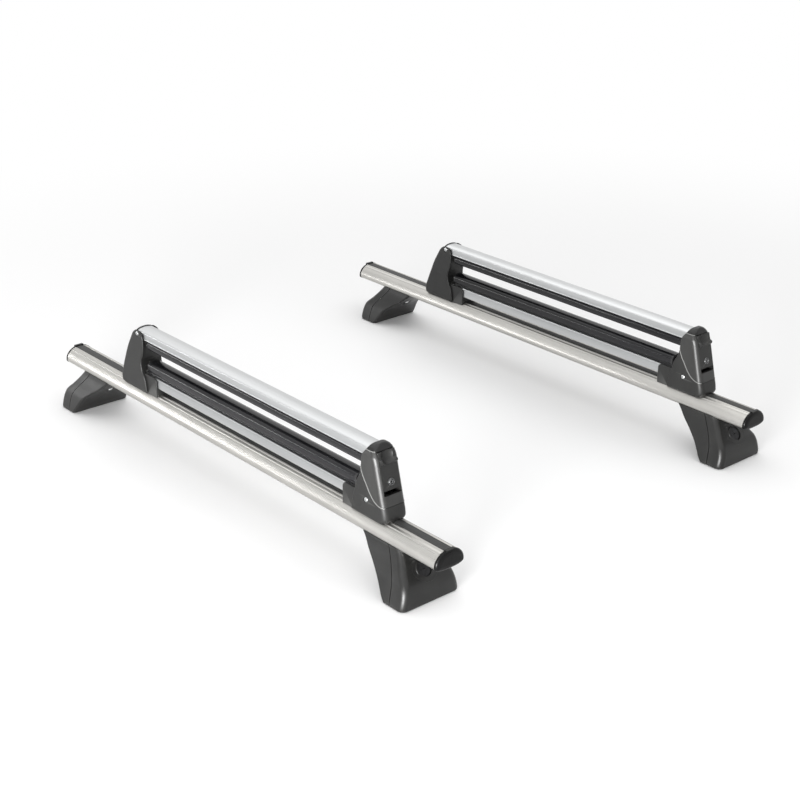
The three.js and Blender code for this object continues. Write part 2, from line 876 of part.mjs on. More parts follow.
function piece(name, manifold, finish) {
  const { numProp, vertProperties, triVerts } = manifold.getMesh();
  if (numProp !== 3) throw new Error(name + " has extra vertex data");
  const geometry = new THREE.BufferGeometry();
  geometry.setAttribute("position", new THREE.BufferAttribute(vertProperties, 3));
  geometry.setIndex(new THREE.BufferAttribute(triVerts, 1));
  geometry.computeVertexNormals();
  const mesh = new THREE.Mesh(geometry, new THREE.MeshStandardMaterial(finishes[finish]));
  mesh.name = name;
  return mesh;
}

// A group that faces +X, or -X when side is -1, at a distance from the middle
function end(side, reach) {
  const group = new THREE.Group();
  group.position.x = side * reach;
  group.rotation.z = side > 0 ? 0 : Math.PI;
  return group;
}

const topHeadFace = -topLip - 3 * fit - stripFlange;

const solids = {
  endCap: endCap(),
  footBody: footBody(),
  footCover: footCover(),
  footPad: footPad(),
  footLock: footLock(),
  footBolt: clampBolt(
    -footBoltX,
    seatHeight + lowLip + fit,
    lowHeadWidth,
    footTop - saddleThickness - fit,
    -1,
  ),
  latchBase: latchBase(),
  basePin: crossPin(basePinX, basePinHeight, towerHalf),
  latchHead: latchHead(),
  releaseSlider: releaseSlider(),
  lockCylinder: lockCylinder(),
  latchHook: latchHook(),
  hookSpring: hookSpring(),
  latchBolt: clampBolt(latchBoltX, topHeadFace, topHeadWidth, baseFloor + fit, 1),
  hingeTower: hingeTower(),
  hingeHead: hingeHead(),
  hingePin: crossPin(hingePinX, hingePinHeight, hingeTopHalf),
  hingeBolt: clampBolt(hingeBoltX, topHeadFace, topHeadWidth, baseFloor + fit, 1),
  upperArm: upperArm(),
  lowerArm: arm(lowerSection, -hingeEnd - lowerArmIntoTower, latchEnd + lowerArmIntoTower),
  upperPad: pad(upperSection, upperPadDepth, upperPadInset - hingeEnd, latchEnd + upperPadOver),
  lowerPad: pad(lowerSection, lowerPadDepth, lowerPadInset - hingeEnd, latchEnd - lowerPadShort),
};

function addFeet(row, tag) {
  for (const [side, where] of [[1, "near"], [-1, "far"]]) {
    const foot = end(side, footReach);
    foot.add(
      piece(`foot_body_${tag}_${where}`, solids.footBody, "plastic"),
      piece(`foot_cover_${tag}_${where}`, solids.footCover, "plastic"),
      piece(`foot_pad_${tag}_${where}`, solids.footPad, "rubber"),
      piece(`foot_lock_${tag}_${where}`, solids.footLock, "steel"),
      piece(`foot_bolt_${tag}_${where}`, solids.footBolt, "steel"),
    );
    row.add(foot);
  }
}

function addBar(row, tag, shift) {
  row.add(piece(`crossbar_${tag}`, crossbar(shift), "extrusion"));
  const bolts = [latchEnd + latchBoltX, -hingeEnd - hingeBoltX];
  row.add(piece(`slot_strip_${tag}`, slotStrip(shift, bolts), "rubber"));
  for (const [side, where] of [[1, "near"], [-1, "far"]]) {
    const tip = end(side, barLength / 2 + side * shift);
    tip.add(piece(`end_cap_${tag}_${where}`, solids.endCap, "plastic"));
    row.add(tip);
  }
}

function addCarrier(row, tag) {
  const latch = end(1, latchEnd);
  latch.add(
    piece(`latch_base_${tag}`, solids.latchBase, "plastic"),
    piece(`base_pin_${tag}`, solids.basePin, "steel"),
    piece(`latch_head_${tag}`, solids.latchHead, "plastic"),
    piece(`release_slider_${tag}`, solids.releaseSlider, "plastic"),
    piece(`lock_cylinder_${tag}`, solids.lockCylinder, "steel"),
    piece(`latch_hook_${tag}`, solids.latchHook, "steel"),
    piece(`hook_spring_${tag}`, solids.hookSpring, "steel"),
    piece(`latch_bolt_${tag}`, solids.latchBolt, "steel"),
  );
  const hinge = end(-1, hingeEnd);
  hinge.add(
    piece(`hinge_tower_${tag}`, solids.hingeTower, "plastic"),
    piece(`hinge_head_${tag}`, solids.hingeHead, "plastic"),
    piece(`hinge_pin_${tag}`, solids.hingePin, "steel"),
    piece(`hinge_bolt_${tag}`, solids.hingeBolt, "steel"),
  );
  const carrier = new THREE.Group();
  carrier.position.z = barTop;
  carrier.add(
    latch,
    hinge,
    piece(`upper_arm_${tag}`, solids.upperArm, "anodised"),
    piece(`upper_pad_${tag}`, solids.upperPad, "rubber"),
    piece(`lower_arm_${tag}`, solids.lowerArm, "anodised"),
    piece(`lower_pad_${tag}`, solids.lowerPad, "rubber"),
  );
  row.add(carrier);
}

const group = new THREE.Group();
for (const [tag, side] of [["front", -1], ["rear", 1]]) {
  const row = new THREE.Group();
  row.position.y = (side * rowSpacing) / 2;
  addFeet(row, tag);
  addBar(row, tag, -side * barShift);
  addCarrier(row, tag);
  group.add(row);
}

export default group;
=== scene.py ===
import math

import bmesh
import bpy
from mathutils import Matrix, Vector


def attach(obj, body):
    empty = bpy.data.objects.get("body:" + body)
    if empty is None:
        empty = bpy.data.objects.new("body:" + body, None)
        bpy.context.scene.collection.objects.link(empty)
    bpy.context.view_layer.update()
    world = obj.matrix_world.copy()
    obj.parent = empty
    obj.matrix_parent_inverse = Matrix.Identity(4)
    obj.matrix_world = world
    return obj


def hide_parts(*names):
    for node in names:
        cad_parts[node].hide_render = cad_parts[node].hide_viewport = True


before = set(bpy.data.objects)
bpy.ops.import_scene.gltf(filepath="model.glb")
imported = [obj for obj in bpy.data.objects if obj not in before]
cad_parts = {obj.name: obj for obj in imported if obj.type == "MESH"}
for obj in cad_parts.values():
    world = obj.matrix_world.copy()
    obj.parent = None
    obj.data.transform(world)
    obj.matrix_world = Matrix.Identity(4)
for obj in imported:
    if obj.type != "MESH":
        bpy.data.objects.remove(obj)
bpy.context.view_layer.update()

print("frame loaded:", len(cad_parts), "nodes")

# Shapes are drawn in millimetres and put in place in metres
layout = {
    "rows": {"front": -372.5, "rear": 372.5},
    "barShift": {"front": 9, "rear": -9},
    "ends": {"near": 1, "far": -1},
    "footReach": 494, "latchEnd": 349.5, "hingeEnd": 254.4, "barHalf": 521.5, "seat": 75,
    "fit": 0.3, "toolReach": 250,
}
shaping = {
    "merge": 0.02, "sliver": 0.01, "seamMerge": 0.001, "softAngle": 34, "sharpAngle": 38,
    "cornerShare": 0.9, "cornerSteps": 8, "lengthShare": 0.99, "toMetres": 0.001,
}
fit, reach, quarter = layout["fit"], layout["toolReach"], math.pi / 2
crosswise = Matrix.Rotation(quarter, 4, "Y")
scene = bpy.context.scene
shown = scene.collection


def stand(bm, name="shape"):
    mesh = bpy.data.meshes.new(name)
    bmesh.ops.recalc_face_normals(bm, faces=bm.faces)
    bm.to_mesh(mesh)
    bm.free()
    obj = bpy.data.objects.new(name, mesh)
    shown.objects.link(obj)
    return obj


def applied(obj):
    bpy.context.view_layer.update()
    depsgraph = bpy.context.evaluated_depsgraph_get()
    mesh = bpy.data.meshes.new_from_object(obj.evaluated_get(depsgraph))
    obj.modifiers.clear()
    obj.data = mesh
    return obj


def carve(obj, tool, how="DIFFERENCE"):
    step = obj.modifiers.new("carve", "BOOLEAN")
    step.operation = how
    step.solver = "EXACT"
    step.object = tool
    applied(obj)
    bpy.data.objects.remove(tool)
    return obj


def soften(obj, width, segments=2):
    bm = bmesh.new()
    bm.from_mesh(obj.data)
    bmesh.ops.remove_doubles(bm, verts=bm.verts, dist=shaping["merge"])
    bmesh.ops.dissolve_degenerate(bm, edges=bm.edges, dist=shaping["sliver"])
    bm.to_mesh(obj.data)
    bm.free()
    step = obj.modifiers.new("soften", "BEVEL")
    step.width = width
    step.segments = segments
    step.limit_method = "ANGLE"
    step.angle_limit = math.radians(shaping["softAngle"])
    step.use_clamp_overlap = True
    return applied(obj)


def addRing(bm, points):
    verts = [bm.verts.new(p) for p in points]
    return [bm.edges.new((verts[i - 1], verts[i])) for i in range(len(verts))]


# Four points whose corners are bevelled: outer ones at x1, inner ones at x0; only the edges stay
def addRounded(bm, z, x0, x1, half, innerRadius, outerRadius):
    known = set(bm.edges)
    most = min(half, (x1 - x0) / 2) * shaping["cornerShare"]
    outer = [bm.verts.new((x1, -half, z)), bm.verts.new((x1, half, z))]
    inner = [bm.verts.new((x0, half, z)), bm.verts.new((x0, -half, z))]
    bm.faces.new(outer + inner)
    for pair, radius in ((outer, outerRadius), (inner, innerRadius)):
        bmesh.ops.bevel(
            bm, geom=pair, offset=min(radius, most), segments=shaping["cornerSteps"], profile=0.5,
            affect="VERTICES", material=-1,
        )
    bmesh.ops.delete(bm, geom=bm.faces[:], context="FACES_ONLY")
    return [edge for edge in bm.edges if edge not in known]


# Closed body through rings of the same number of points
def loft(rings, add=addRing):
    bm = bmesh.new()
    loops = [add(bm, ring) if add is addRing else add(bm, *ring) for ring in rings]
    for low, high in zip(loops, loops[1:]):
        bmesh.ops.bridge_loops(bm, edges=low + high)
    bmesh.ops.holes_fill(bm, edges=loops[0] + loops[-1])
    return stand(bm)


# Outline in (y, z) pulled along X, or in (x, z) pulled along Y
def pulled(outline, start, end, across="x", holes=(), cuts=0):
    bm = bmesh.new()
    for loop in [outline, *holes]:
        addRing(bm, [(start, a, b) if across == "x" else (a, start, b) for a, b in loop])
    if holes:
        bmesh.ops.triangle_fill(bm, use_beauty=True, edges=bm.edges[:])
    else:
        bmesh.ops.contextual_create(bm, geom=bm.edges[:])
    grown = bmesh.ops.extrude_face_region(bm, geom=bm.faces[:])
    far = [item for item in grown["geom"] if isinstance(item, bmesh.types.BMVert)]
    offset = Vector((end - start, 0, 0)) if across == "x" else Vector((0, end - start, 0))
    bmesh.ops.translate(bm, vec=offset, verts=far)
    if cuts:
        least = abs(end - start) * shaping["lengthShare"]
        lengthwise = [edge for edge in bm.edges if edge.calc_length() > least]
        bmesh.ops.subdivide_edges(bm, edges=lengthwise, cuts=cuts, use_grid_fill=True)
    return stand(bm)


def block(low, high):
    bm = bmesh.new()
    bmesh.ops.create_cube(bm, size=1)
    bmesh.ops.scale(bm, vec=Vector(high) - Vector(low), verts=bm.verts)
    bmesh.ops.translate(bm, vec=(Vector(high) + Vector(low)) / 2, verts=bm.verts)
    return stand(bm)


def rod(radius, length, spot, segments=40):
    bm = bmesh.new()
    bmesh.ops.create_cone(
        bm, cap_ends=True, segments=segments, radius1=radius, radius2=radius, depth=length
    )
    bmesh.ops.transform(bm, matrix=spot, verts=bm.verts)
    return stand(bm)


# Upright rod at x, and rod along Y at x, y, z
def post(diameter, low, high, x):
    return rod(diameter / 2, high - low, at(x, 0, (low + high) / 2))


def axle(radius, length, x, z, y=0):
    return rod(radius, length, at(x, y, z, "X", quarter))


# Profile of (radius, height) turned about Z, then put at spot
def turned(profile, spot, segments=40):
    bm = bmesh.new()
    verts = [bm.verts.new((r, 0, h)) for r, h in profile]
    edges = [bm.edges.new(pair) for pair in zip(verts, verts[1:])]
    bmesh.ops.spin(
        bm, geom=verts + edges, cent=(0, 0, 0), axis=(0, 0, 1), angle=math.tau, steps=segments,
        use_merge=True,
    )
    bmesh.ops.remove_doubles(bm, verts=bm.verts, dist=shaping["seamMerge"])
    bmesh.ops.transform(bm, matrix=spot, verts=bm.verts)
    return stand(bm)


def at(x=0, y=0, z=0, turn=None, angle=0):
    spot = Matrix.Translation((x, y, z))
    return spot @ Matrix.Rotation(angle, 4, turn) if turn else spot


def moved(obj, spot):
    obj.data.transform(spot)
    return obj


def sweep(steps, whole=quarter):
    return [k / steps * whole for k in range(steps + 1)]


def mirrored(points):
    return [(-a, b) for a, b in reversed(points)]


# Rows of (height, inner edge, outer edge, half width) read at any height on one smooth curve
def rowAt(rows, z):
    z = min(max(z, rows[0][0]), rows[-1][0])
    i = max(1, next(k for k, row in enumerate(rows) if row[0] >= z))
    low, high = rows[i - 1], rows[i]
    span = high[0] - low[0]
    t = (z - low[0]) / span
    values = []
    for c in range(1, len(low)):
        slopes = [slopeAt(rows, k, c) for k in (i - 1, i)]
        values.append(
            (2 * t**3 - 3 * t**2 + 1) * low[c]
            + (t**3 - 2 * t**2 + t) * span * slopes[0]
            + (3 * t**2 - 2 * t**3) * high[c]
            + (t**3 - t**2) * span * slopes[1]
        )
    return values


def slopeAt(rows, i, c):
    near = rows[max(0, i - 1):i + 2]
    steps = [(b[c] - a[c]) / (b[0] - a[0]) for a, b in zip(near, near[1:])]
    if len(steps) == 1:
        return steps[0]
    return 0 if steps[0] * steps[1] <= 0 else 2 * steps[0] * steps[1] / (steps[0] + steps[1])


def levels(low, high, step):
    count = max(1, round((high - low) / step))
    return [low + (high - low) * k / count for k in range(count + 1)]


def place(key, name, spot, body, finish, nodes):
    mesh = templates[key].data.copy()
    mesh.transform(Matrix.Scale(shaping["toMetres"], 4) @ spot)
    mesh.set_sharp_from_angle(angle=math.radians(shaping["sharpAngle"]))
    mesh.materials.clear()
    mesh.materials.append(finishes[finish])
    for face in mesh.polygons:
        face.use_smooth = True
        face.material_index = 0
    piece = bpy.data.objects.new(name, mesh)
    shown.objects.link(piece)
    piece.modifiers.new("evenNormals", "WEIGHTED_NORMAL").keep_sharp = True
    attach(piece, body)
    if nodes:
        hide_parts(*nodes)


print("finishes")
grading = {
    "patchDetail": 4, "patchRough": 0.55, "patchRange": (0.35, 0.65), "grainDetail": 6, "grainRough": 0.65,
    "grainRange": (0.3, 0.7), "edgeRange": (0.53, 0.6), "grainShare": 0.5, "sumRange": (0.5, 1),
}


# Inputs of a shader node: a socket is linked, any other value is set
def feed(tree, node, inputs):
    for key, value in inputs.items():
        if isinstance(value, bpy.types.NodeSocket):
            tree.links.new(value, node.inputs[key])
        else:
            node.inputs[key].default_value = value
    return node


def addNode(tree, kind, inputs, **settings):
    node = tree.nodes.new("ShaderNode" + kind)
    for name, value in settings.items():
        setattr(node, name, value)
    return feed(tree, node, inputs)


# One finish: patches of colour, a fine grain, roughness that varies, and paler sharp edges, partly wear and
# partly a painted edge highlight
def makeFinish(name, look):
    finish = bpy.data.materials.new(name)
    finish.use_nodes = True
    tree = finish.node_tree
    coordinates = addNode(tree, "TexCoord", {}).outputs["Object"]

    def noise(kind):
        mapped = addNode(tree, "Mapping", {"Vector": coordinates, "Scale": look[kind + "Stretch"]})
        inputs = {"Vector": mapped.outputs["Vector"], "Scale": look[kind + "Scale"]}
        inputs |= {"Detail": grading[kind + "Detail"], "Roughness": grading[kind + "Rough"]}
        return addNode(tree, "TexNoise", inputs).outputs["Fac"]

    def ranged(source, given, low, high):
        inputs = {"Value": source, "From Min": given[0], "From Max": given[1]}
        inputs |= {"To Min": low, "To Max": high}
        return addNode(tree, "MapRange", inputs).outputs["Result"]

    # Inputs 6 and 7 and output 2 are the mix node's colours
    def mixed(factor, *colours):
        first, second = ((*c, 1) if isinstance(c, tuple) else c for c in colours)
        return addNode(tree, "Mix", {"Factor": factor, 6: first, 7: second}, data_type="RGBA").outputs[2]

    patches, grain = noise("patch"), noise("grain")
    colour = mixed(ranged(patches, grading["patchRange"], 0, 1), look["dark"], look["light"])
    colour = mixed(ranged(grain, grading["grainRange"], 0, look["grainTint"]), colour, look["grainColour"])
    # Sharp edges turn paler: partly wear, partly a painted highlight along the edges
    pointed = addNode(tree, "NewGeometry", {}).outputs["Pointiness"]
    wornAndSheen = ranged(pointed, grading["edgeRange"], 0, look["wearAndSheen"])
    both = {0: grain, 1: grading["grainShare"], 2: patches}
    summed = addNode(tree, "Math", both, operation="MULTIPLY_ADD").outputs["Value"]
    bump = {"Strength": look["bumpStrength"], "Distance": look["bumpDepth"], "Height": grain}
    feed(tree, tree.nodes["Principled BSDF"], {
        "Metallic": look["metallic"], "IOR": look["ior"], "Specular IOR Level": look["gloss"],
        "Base Color": mixed(wornAndSheen, colour, look["wearAndSheenColour"]),
        "Roughness": ranged(summed, grading["sumRange"], look["smoothest"], look["roughest"]),
        "Normal": addNode(tree, "Bump", bump).outputs["Normal"],
    })
    return finish


plasticLook = {
    "metallic": 0, "ior": 1.5, "gloss": 0.5,
    "dark": (0.017, 0.017, 0.016), "light": (0.026, 0.026, 0.025),
    "patchStretch": (1, 1, 0.25), "patchScale": 38,
    "grainStretch": (1, 1, 1), "grainScale": 1500, "grainTint": 0.2, "grainColour": (0.028, 0.028, 0.027),
    "wearAndSheen": 0.5, "wearAndSheenColour": (0.08, 0.08, 0.078), "smoothest": 0.36, "roughest": 0.5,
    "bumpStrength": 0.35, "bumpDepth": 0.0001,
}
metalLook = {
    "metallic": 1, "ior": 1.45, "gloss": 0.5,
    "dark": (0.42, 0.43, 0.435), "light": (0.52, 0.53, 0.53), "patchStretch": (1, 1, 1), "patchScale": 220,
    "grainStretch": (1, 1, 1), "grainScale": 1800, "grainTint": 0.3, "grainColour": (0.34, 0.345, 0.35),
    "wearAndSheen": 0.4, "wearAndSheenColour": (0.75, 0.75, 0.75), "smoothest": 0.22, "roughest": 0.38,
    "bumpStrength": 0.3, "bumpDepth": 0.0001,
}
finishLooks = {
    "barAluminium": metalLook | {
        "dark": (0.27, 0.263, 0.249), "light": (0.338, 0.33, 0.312),
        "patchStretch": (0.04, 1, 1), "patchScale": 160, "grainStretch": (0.012, 1, 1), "grainScale": 900,
        "grainTint": 0.35, "grainColour": (0.25, 0.244, 0.23),
        "wearAndSheenColour": (0.7, 0.69, 0.66), "smoothest": 0.26, "roughest": 0.42,
        "bumpStrength": 0.5, "bumpDepth": 0.0002,
    },
    "armAluminium": metalLook | {
        "dark": (0.325, 0.338, 0.342), "light": (0.375, 0.388, 0.392),
        "patchStretch": (0.05, 1, 1), "patchScale": 90, "grainStretch": (0.01, 1, 1), "grainScale": 1100,
        "grainTint": 0.25, "grainColour": (0.28, 0.29, 0.295),
        "wearAndSheenColour": (0.78, 0.78, 0.78), "smoothest": 0.3, "roughest": 0.42,
        "bumpStrength": 0.35, "bumpDepth": 0.00015,
    },
    "towerPlastic": plasticLook | {
        "gloss": 0.36,
        "dark": (0.005, 0.005, 0.0048), "light": (0.0095, 0.0095, 0.009), "smoothest": 0.4, "roughest": 0.5,
    },
    # Lighter than the base's plastic: painted light, for the head standing higher in the light from above
    "headPlasticPaintedLight": plasticLook | {
        "dark": (0.009, 0.009, 0.0086), "light": (0.015, 0.015, 0.0143),
        "smoothest": 0.36, "roughest": 0.42, "bumpDepth": 0.00005,
    },
    "capPlastic": plasticLook | {
        "gloss": 0.34,
        "dark": (0.004, 0.004, 0.004), "light": (0.008, 0.008, 0.008), "grainColour": (0.012, 0.012, 0.012),
        "smoothest": 0.24, "roughest": 0.34, "bumpDepth": 0.00004,
    },
    "tipPlastic": plasticLook | {
        "gloss": 0.13,
        "dark": (0.002, 0.002, 0.002), "light": (0.005, 0.005, 0.005), "grainColour": (0.008, 0.008, 0.008),
        "smoothest": 0.24, "roughest": 0.34, "bumpDepth": 0.00004,
    },
    # Darker than the base's plastic: painted shade, for the feet standing lowest, away from the light from
    # above
    "footPlasticPaintedShade": plasticLook | {
        "gloss": 0.38,
        "dark": (0.004, 0.004, 0.0038), "light": (0.008, 0.008, 0.0076), "patchScale": 26,
        "smoothest": 0.36, "roughest": 0.43, "bumpDepth": 0.00006,
    },
    "padRubber": plasticLook | {
        "gloss": 0.3,
        "dark": (0.003, 0.003, 0.004), "light": (0.009, 0.009, 0.01),
        "patchStretch": (0.15, 1, 1), "patchScale": 60,
        "grainColour": (0.02, 0.02, 0.021), "grainTint": 0.15, "wearAndSheenColour": (0.03, 0.03, 0.03),
        "smoothest": 0.13, "roughest": 0.26, "bumpStrength": 0.1,
    },
    "stripRubber": plasticLook | {
        "gloss": 0.3,
        "dark": (0.005, 0.005, 0.005), "light": (0.009, 0.009, 0.009), "patchStretch": (0.1, 1, 1),
        "grainColour": (0.03, 0.03, 0.03), "smoothest": 0.4, "roughest": 0.6,
    },
    "treadRubber": plasticLook | {
        "dark": (0.012, 0.012, 0.012), "light": (0.02, 0.02, 0.02), "smoothest": 0.6, "roughest": 0.8,
    },
    "zincSteel": metalLook,
    "barrelSteel": metalLook | {
        "dark": (0.17, 0.172, 0.175), "light": (0.25, 0.253, 0.256), "grainColour": (0.12, 0.122, 0.125),
        "wearAndSheenColour": (0.5, 0.5, 0.5), "bumpDepth": 0.00005,
    },
    "lockSteel": metalLook | {
        "dark": (0.03, 0.03, 0.031), "light": (0.045, 0.045, 0.047),
        "grainTint": 0.2, "grainColour": (0.03, 0.03, 0.03), "wearAndSheen": 0.3, "wearAndSheenColour": (0.2, 0.2, 0.2),
        "smoothest": 0.3, "roughest": 0.42, "bumpDepth": 0.00003,
    },
    # Pale colour of the seam strips: a painted highlight along the seams
    "seamPaintedHighlight": plasticLook | {
        "dark": (0.13, 0.13, 0.127), "light": (0.19, 0.19, 0.185), "grainColour": (0.12, 0.12, 0.117),
        "wearAndSheenColour": (0.24, 0.24, 0.235), "smoothest": 0.3, "roughest": 0.42,
    },
}
finishes = {name: makeFinish(name, look) for name, look in finishLooks.items()}

print("crossbars")
bar = {
    "width": 56, "height": 31, "nose": 8.4, "wall": 2.6, "floorPower": 2.6,
    "topMouth": 16, "topChannel": 24, "topLip": 2.9, "topDepth": 12, "lipRound": 0.9,
    "lipIn": 0.27, "lipDrop": 0.225, "lowMouth": 9, "lowChannel": 18, "lowLip": 2.4, "lowDepth": 8.4,
    "chamberSide": 15, "curveSteps": 150, "floorSteps": 24, "chamberSteps": 12,
    "waves": (
        (9.8, 0.35, 0.8), (11.6, -0.75, 0.6), (15.7, 0.5, 0.9), (17.3, -0.6, 0.5), (19.1, -0.28, 0.3),
        (20.6, -0.28, 0.3), (22.2, -0.28, 0.3), (23.6, -0.28, 0.3), (24.9, -0.26, 0.26),
        (26.0, -0.22, 0.22),
    ),
}
barTop = layout["seat"] + bar["height"]


def barTopZ(y, grow=0):
    half = bar["width"] / 2 + grow
    return bar["nose"] + (bar["height"] - bar["nose"] + grow) * math.sqrt(max(0, 1 - (y / half) ** 2))


def barFloorZ(y, grow=0):
    part = min(1, abs(y) / (bar["width"] / 2 + grow))
    power = bar["floorPower"]
    return bar["nose"] - (bar["nose"] + grow) * (1 - part**power) ** (1 / power)


def barCurve(fromY, grow, heightAt, steps):
    half = bar["width"] / 2 + grow
    start = math.asin(fromY / half)
    ys = [half * math.sin(start + k / steps * (quarter - start)) for k in range(steps + 1)]
    return [(y, layout["seat"] + heightAt(y, grow)) for y in ys]


def closedBar(grow, steps=28):
    top = barCurve(0, grow, barTopZ, steps)
    low = barCurve(0, grow, barFloorZ, steps)[::-1]
    right = top + low[1:]
    return right + mirrored(right)[1:-1]


def barChamber():
    wall, side, steps = bar["wall"], bar["chamberSide"], bar["chamberSteps"]
    top = barCurve(side, -wall, barTopZ, steps)
    low = barCurve(side, -wall, barFloorZ, steps)[::-1]
    return top + low[1:]


# Beads and fine grooves: place, rise and half width
def grooved(y, grow=0):
    waves = (rise * math.exp(-(((y - mid) / half) ** 2)) for mid, rise, half in bar["waves"])
    return barTopZ(y, grow) + sum(waves)


def crossbarTemplate():
    seat, mouth, lip = layout["seat"], bar["topMouth"] / 2, bar["topLip"]
    low, topSide, lowSide = bar["lowMouth"] / 2, bar["topChannel"] / 2, bar["lowChannel"] / 2
    right = [
        (topSide, barTop - bar["topDepth"]), (topSide, barTop - lip), (mouth, barTop - lip),
        (mouth, seat + barTopZ(mouth) - bar["lipRound"]),
        (mouth + bar["lipIn"], seat + barTopZ(mouth) - bar["lipDrop"]),
        *barCurve(mouth + bar["lipRound"], 0, grooved, bar["curveSteps"]),
        *barCurve(low, 0, barFloorZ, bar["floorSteps"])[::-1][1:],
        (low, seat + bar["lowLip"]), (lowSide, seat + bar["lowLip"]), (lowSide, seat + bar["lowDepth"]),
    ]
    half, chamber = layout["barHalf"], barChamber()
    return pulled(right + mirrored(right), -half, half, holes=[chamber, mirrored(chamber)])


strip = {
    "flangeHalf": 11, "flangeThick": 2, "neck": 7.6, "sink": 0.35, "ribs": 3, "ribHeight": 0.25,
    "ribShare": 0.4, "steps": 40, "bolt": 9, "boltRoom": 15,
}


def stripTemplate(shift):
    under = barTop - bar["topLip"] - fit
    neck, rib, count = strip["neck"], strip["ribHeight"], strip["steps"]
    crown = []
    for k in range(count + 1):
        y = neck * (1 - k / count)
        wave = math.cos(y / neck * strip["ribs"] * math.tau) * (strip["ribShare"] if k else 1)
        crown.append((y, layout["seat"] + barTopZ(y) - strip["sink"] + rib * (wave - 1)))
    out, half = strip["flangeHalf"], layout["barHalf"] - fit
    right = [(out, under - strip["flangeThick"]), (out, under), (neck, under), *crown]
    obj = pulled(right + mirrored(right)[1:], -half, half)
    for x in (layout["latchEnd"] + tower["boltX"] - shift, -layout["hingeEnd"] - hinge["boltX"] - shift):
        carve(obj, post(strip["bolt"], barTop - strip["boltRoom"], barTop + strip["boltRoom"], x))
    return obj


# Rings as (distance from the bar's end, growth past the bar's outline)
cap = {
    "seam": [(0.3, -0.9), (0.8, -0.9), (1, 0.3), (1.4, 0.6), (1.9, 0.6)],
    "crown": [(7.26, -7), (7.365, -8.2)], "round": 6.4, "end": 7.05, "steps": 12, "edge": 0.4,
    "tab": ((0.9, -8.6, -5), (5.6, 8.6, 1.1)),
}


def capTemplate():
    straight, lip = cap["seam"][-1]
    rings = cap["seam"][:]
    for angle in sweep(cap["steps"])[1:]:
        x = straight + (cap["end"] - straight) * math.sin(angle)
        rings.append((x, lip - cap["round"] * (1 - math.cos(angle))))
    rings += cap["crown"]
    obj = loft([[(x, y, z) for y, z in closedBar(grow)] for x, grow in rings])
    low, high = ((x, y, barTop + z) for x, y, z in cap["tab"])
    return soften(carve(obj, block(low, high), "UNION"), cap["edge"])


print("feet")
foot = {
    "rows": [
        (0, 2, -44, 58), (3, 3.3, -46, 58.5), (10, 3.6, -51, 57.4), (20, 3, -57.5, 55),
        (35, -1, -69, 50.7), (50, -15, -88, 43), (62, -25, -106, 36), (75, -35, -121, 30),
        (80.5, -39.3, -127.3, 28.6),
    ],
    "seam": [(-10, 26), (30, 29.5), (75, 60), (150, 111)], "seamLevels": (20, 85, 4),
    "seamEnds": (-10, 10, 110, 150),
    "outerRadius": 11, "innerRadius": 6, "clear": 1.5, "top": 80.5, "seatTop": 74.7, "wall": 3,
    "seamGap": 0.75, "boltX": -84, "bore": 8.8, "boreEnds": (15, 105), "nutPocket": 18, "saddle": 17,
    "notch": 18.5, "coreGap": 0.5, "overrun": 8, "pocketOver": 10, "edge": 0.5,
}
footLock = {
    "height": 50, "tilt": 0.68, "recess": 26, "recessDepth": 3, "boss": 31, "bossDepth": 9, "bossInset": 0.4,
    "bossTop": 74, "barrel": 15, "barrelRoom": 0.8, "rim": 30.4, "rimProud": 1,
    "rimProfile": [(0, 0), (0.2, 0.45), (0.6, 0.8), (1.2, 1)],
    "arc": 44, "arcWidth": 1.2, "arcProud": 0.4, "arcSink": 0.3, "arcReach": 14, "arcCut": 20, "arcTop": 73,
    "disc": 25.2, "face": -0.9, "length": 12, "seat": 0.2, "discEdge": [(0, -0.6), (0.4, -0.1), (1.2, 0)],
    "slot": ((-3, -3.4, -0.6), (2, 3.4, 0.6)), "edge": 0.12,
}
sole = {
    "thick": 5, "inset": 4, "treads": 9, "treadShare": 0.8, "edge": 0.35,
    "tread": ((-60, -1.2, -5), (20, 1.2, 1.2)),
}


def footSkin(inset, low, high, step=3.2):
    rings = []
    for z in levels(low, high, step):
        x1, x0, half = rowAt(foot["rows"], z)
        rings.append((z, x0 + inset, x1 - inset, half - inset, foot["innerRadius"], foot["outerRadius"]))
    return loft(rings, addRounded)


# The foot's whole outer shape, hollowed at the top for the bar
def footOuter():
    return carve(footSkin(0, foot["clear"], foot["top"]), barTool())


# Everything on one side of the foot's slanting seam
def footSide(side, gap):
    low, under, above, high = foot["seamEnds"]
    heights = [low, under, *levels(*foot["seamLevels"]), above, high]
    line = [(side * gap - rowAt(foot["seam"], z)[0], z) for z in heights]
    return pulled([*line, (side * reach, high), (side * reach, low)], -reach, reach, across="y")


def onLockFace(obj):
    z = footLock["height"]
    return moved(obj, at(rowAt(foot["rows"], z)[0], 0, z, "Y", -footLock["tilt"]))


def faceRod(diameter, start, end, segments=48):
    return rod(diameter / 2, end - start, at((start + end) / 2, 0, 0, "Y", quarter), segments)


def footCoverTemplate():
    depth, over = footLock["bossDepth"], foot["overrun"]
    obj = carve(footOuter(), footSide(1, foot["seamGap"]), "INTERSECT")
    carve(obj, footSkin(foot["wall"], -over, foot["seatTop"] - foot["wall"]))
    boss = onLockFace(faceRod(footLock["boss"], -depth, over))
    carve(boss, footSkin(footLock["bossInset"], foot["clear"], footLock["bossTop"]), "INTERSECT")
    for raised in (boss, lockRim(), lockArc()):
        carve(obj, raised, "UNION")
    carve(obj, onLockFace(faceRod(footLock["recess"], -footLock["recessDepth"], 2 * over)))
    carve(obj, onLockFace(faceRod(footLock["barrel"] + footLock["barrelRoom"], -2 * depth, over)))
    return soften(obj, foot["edge"])


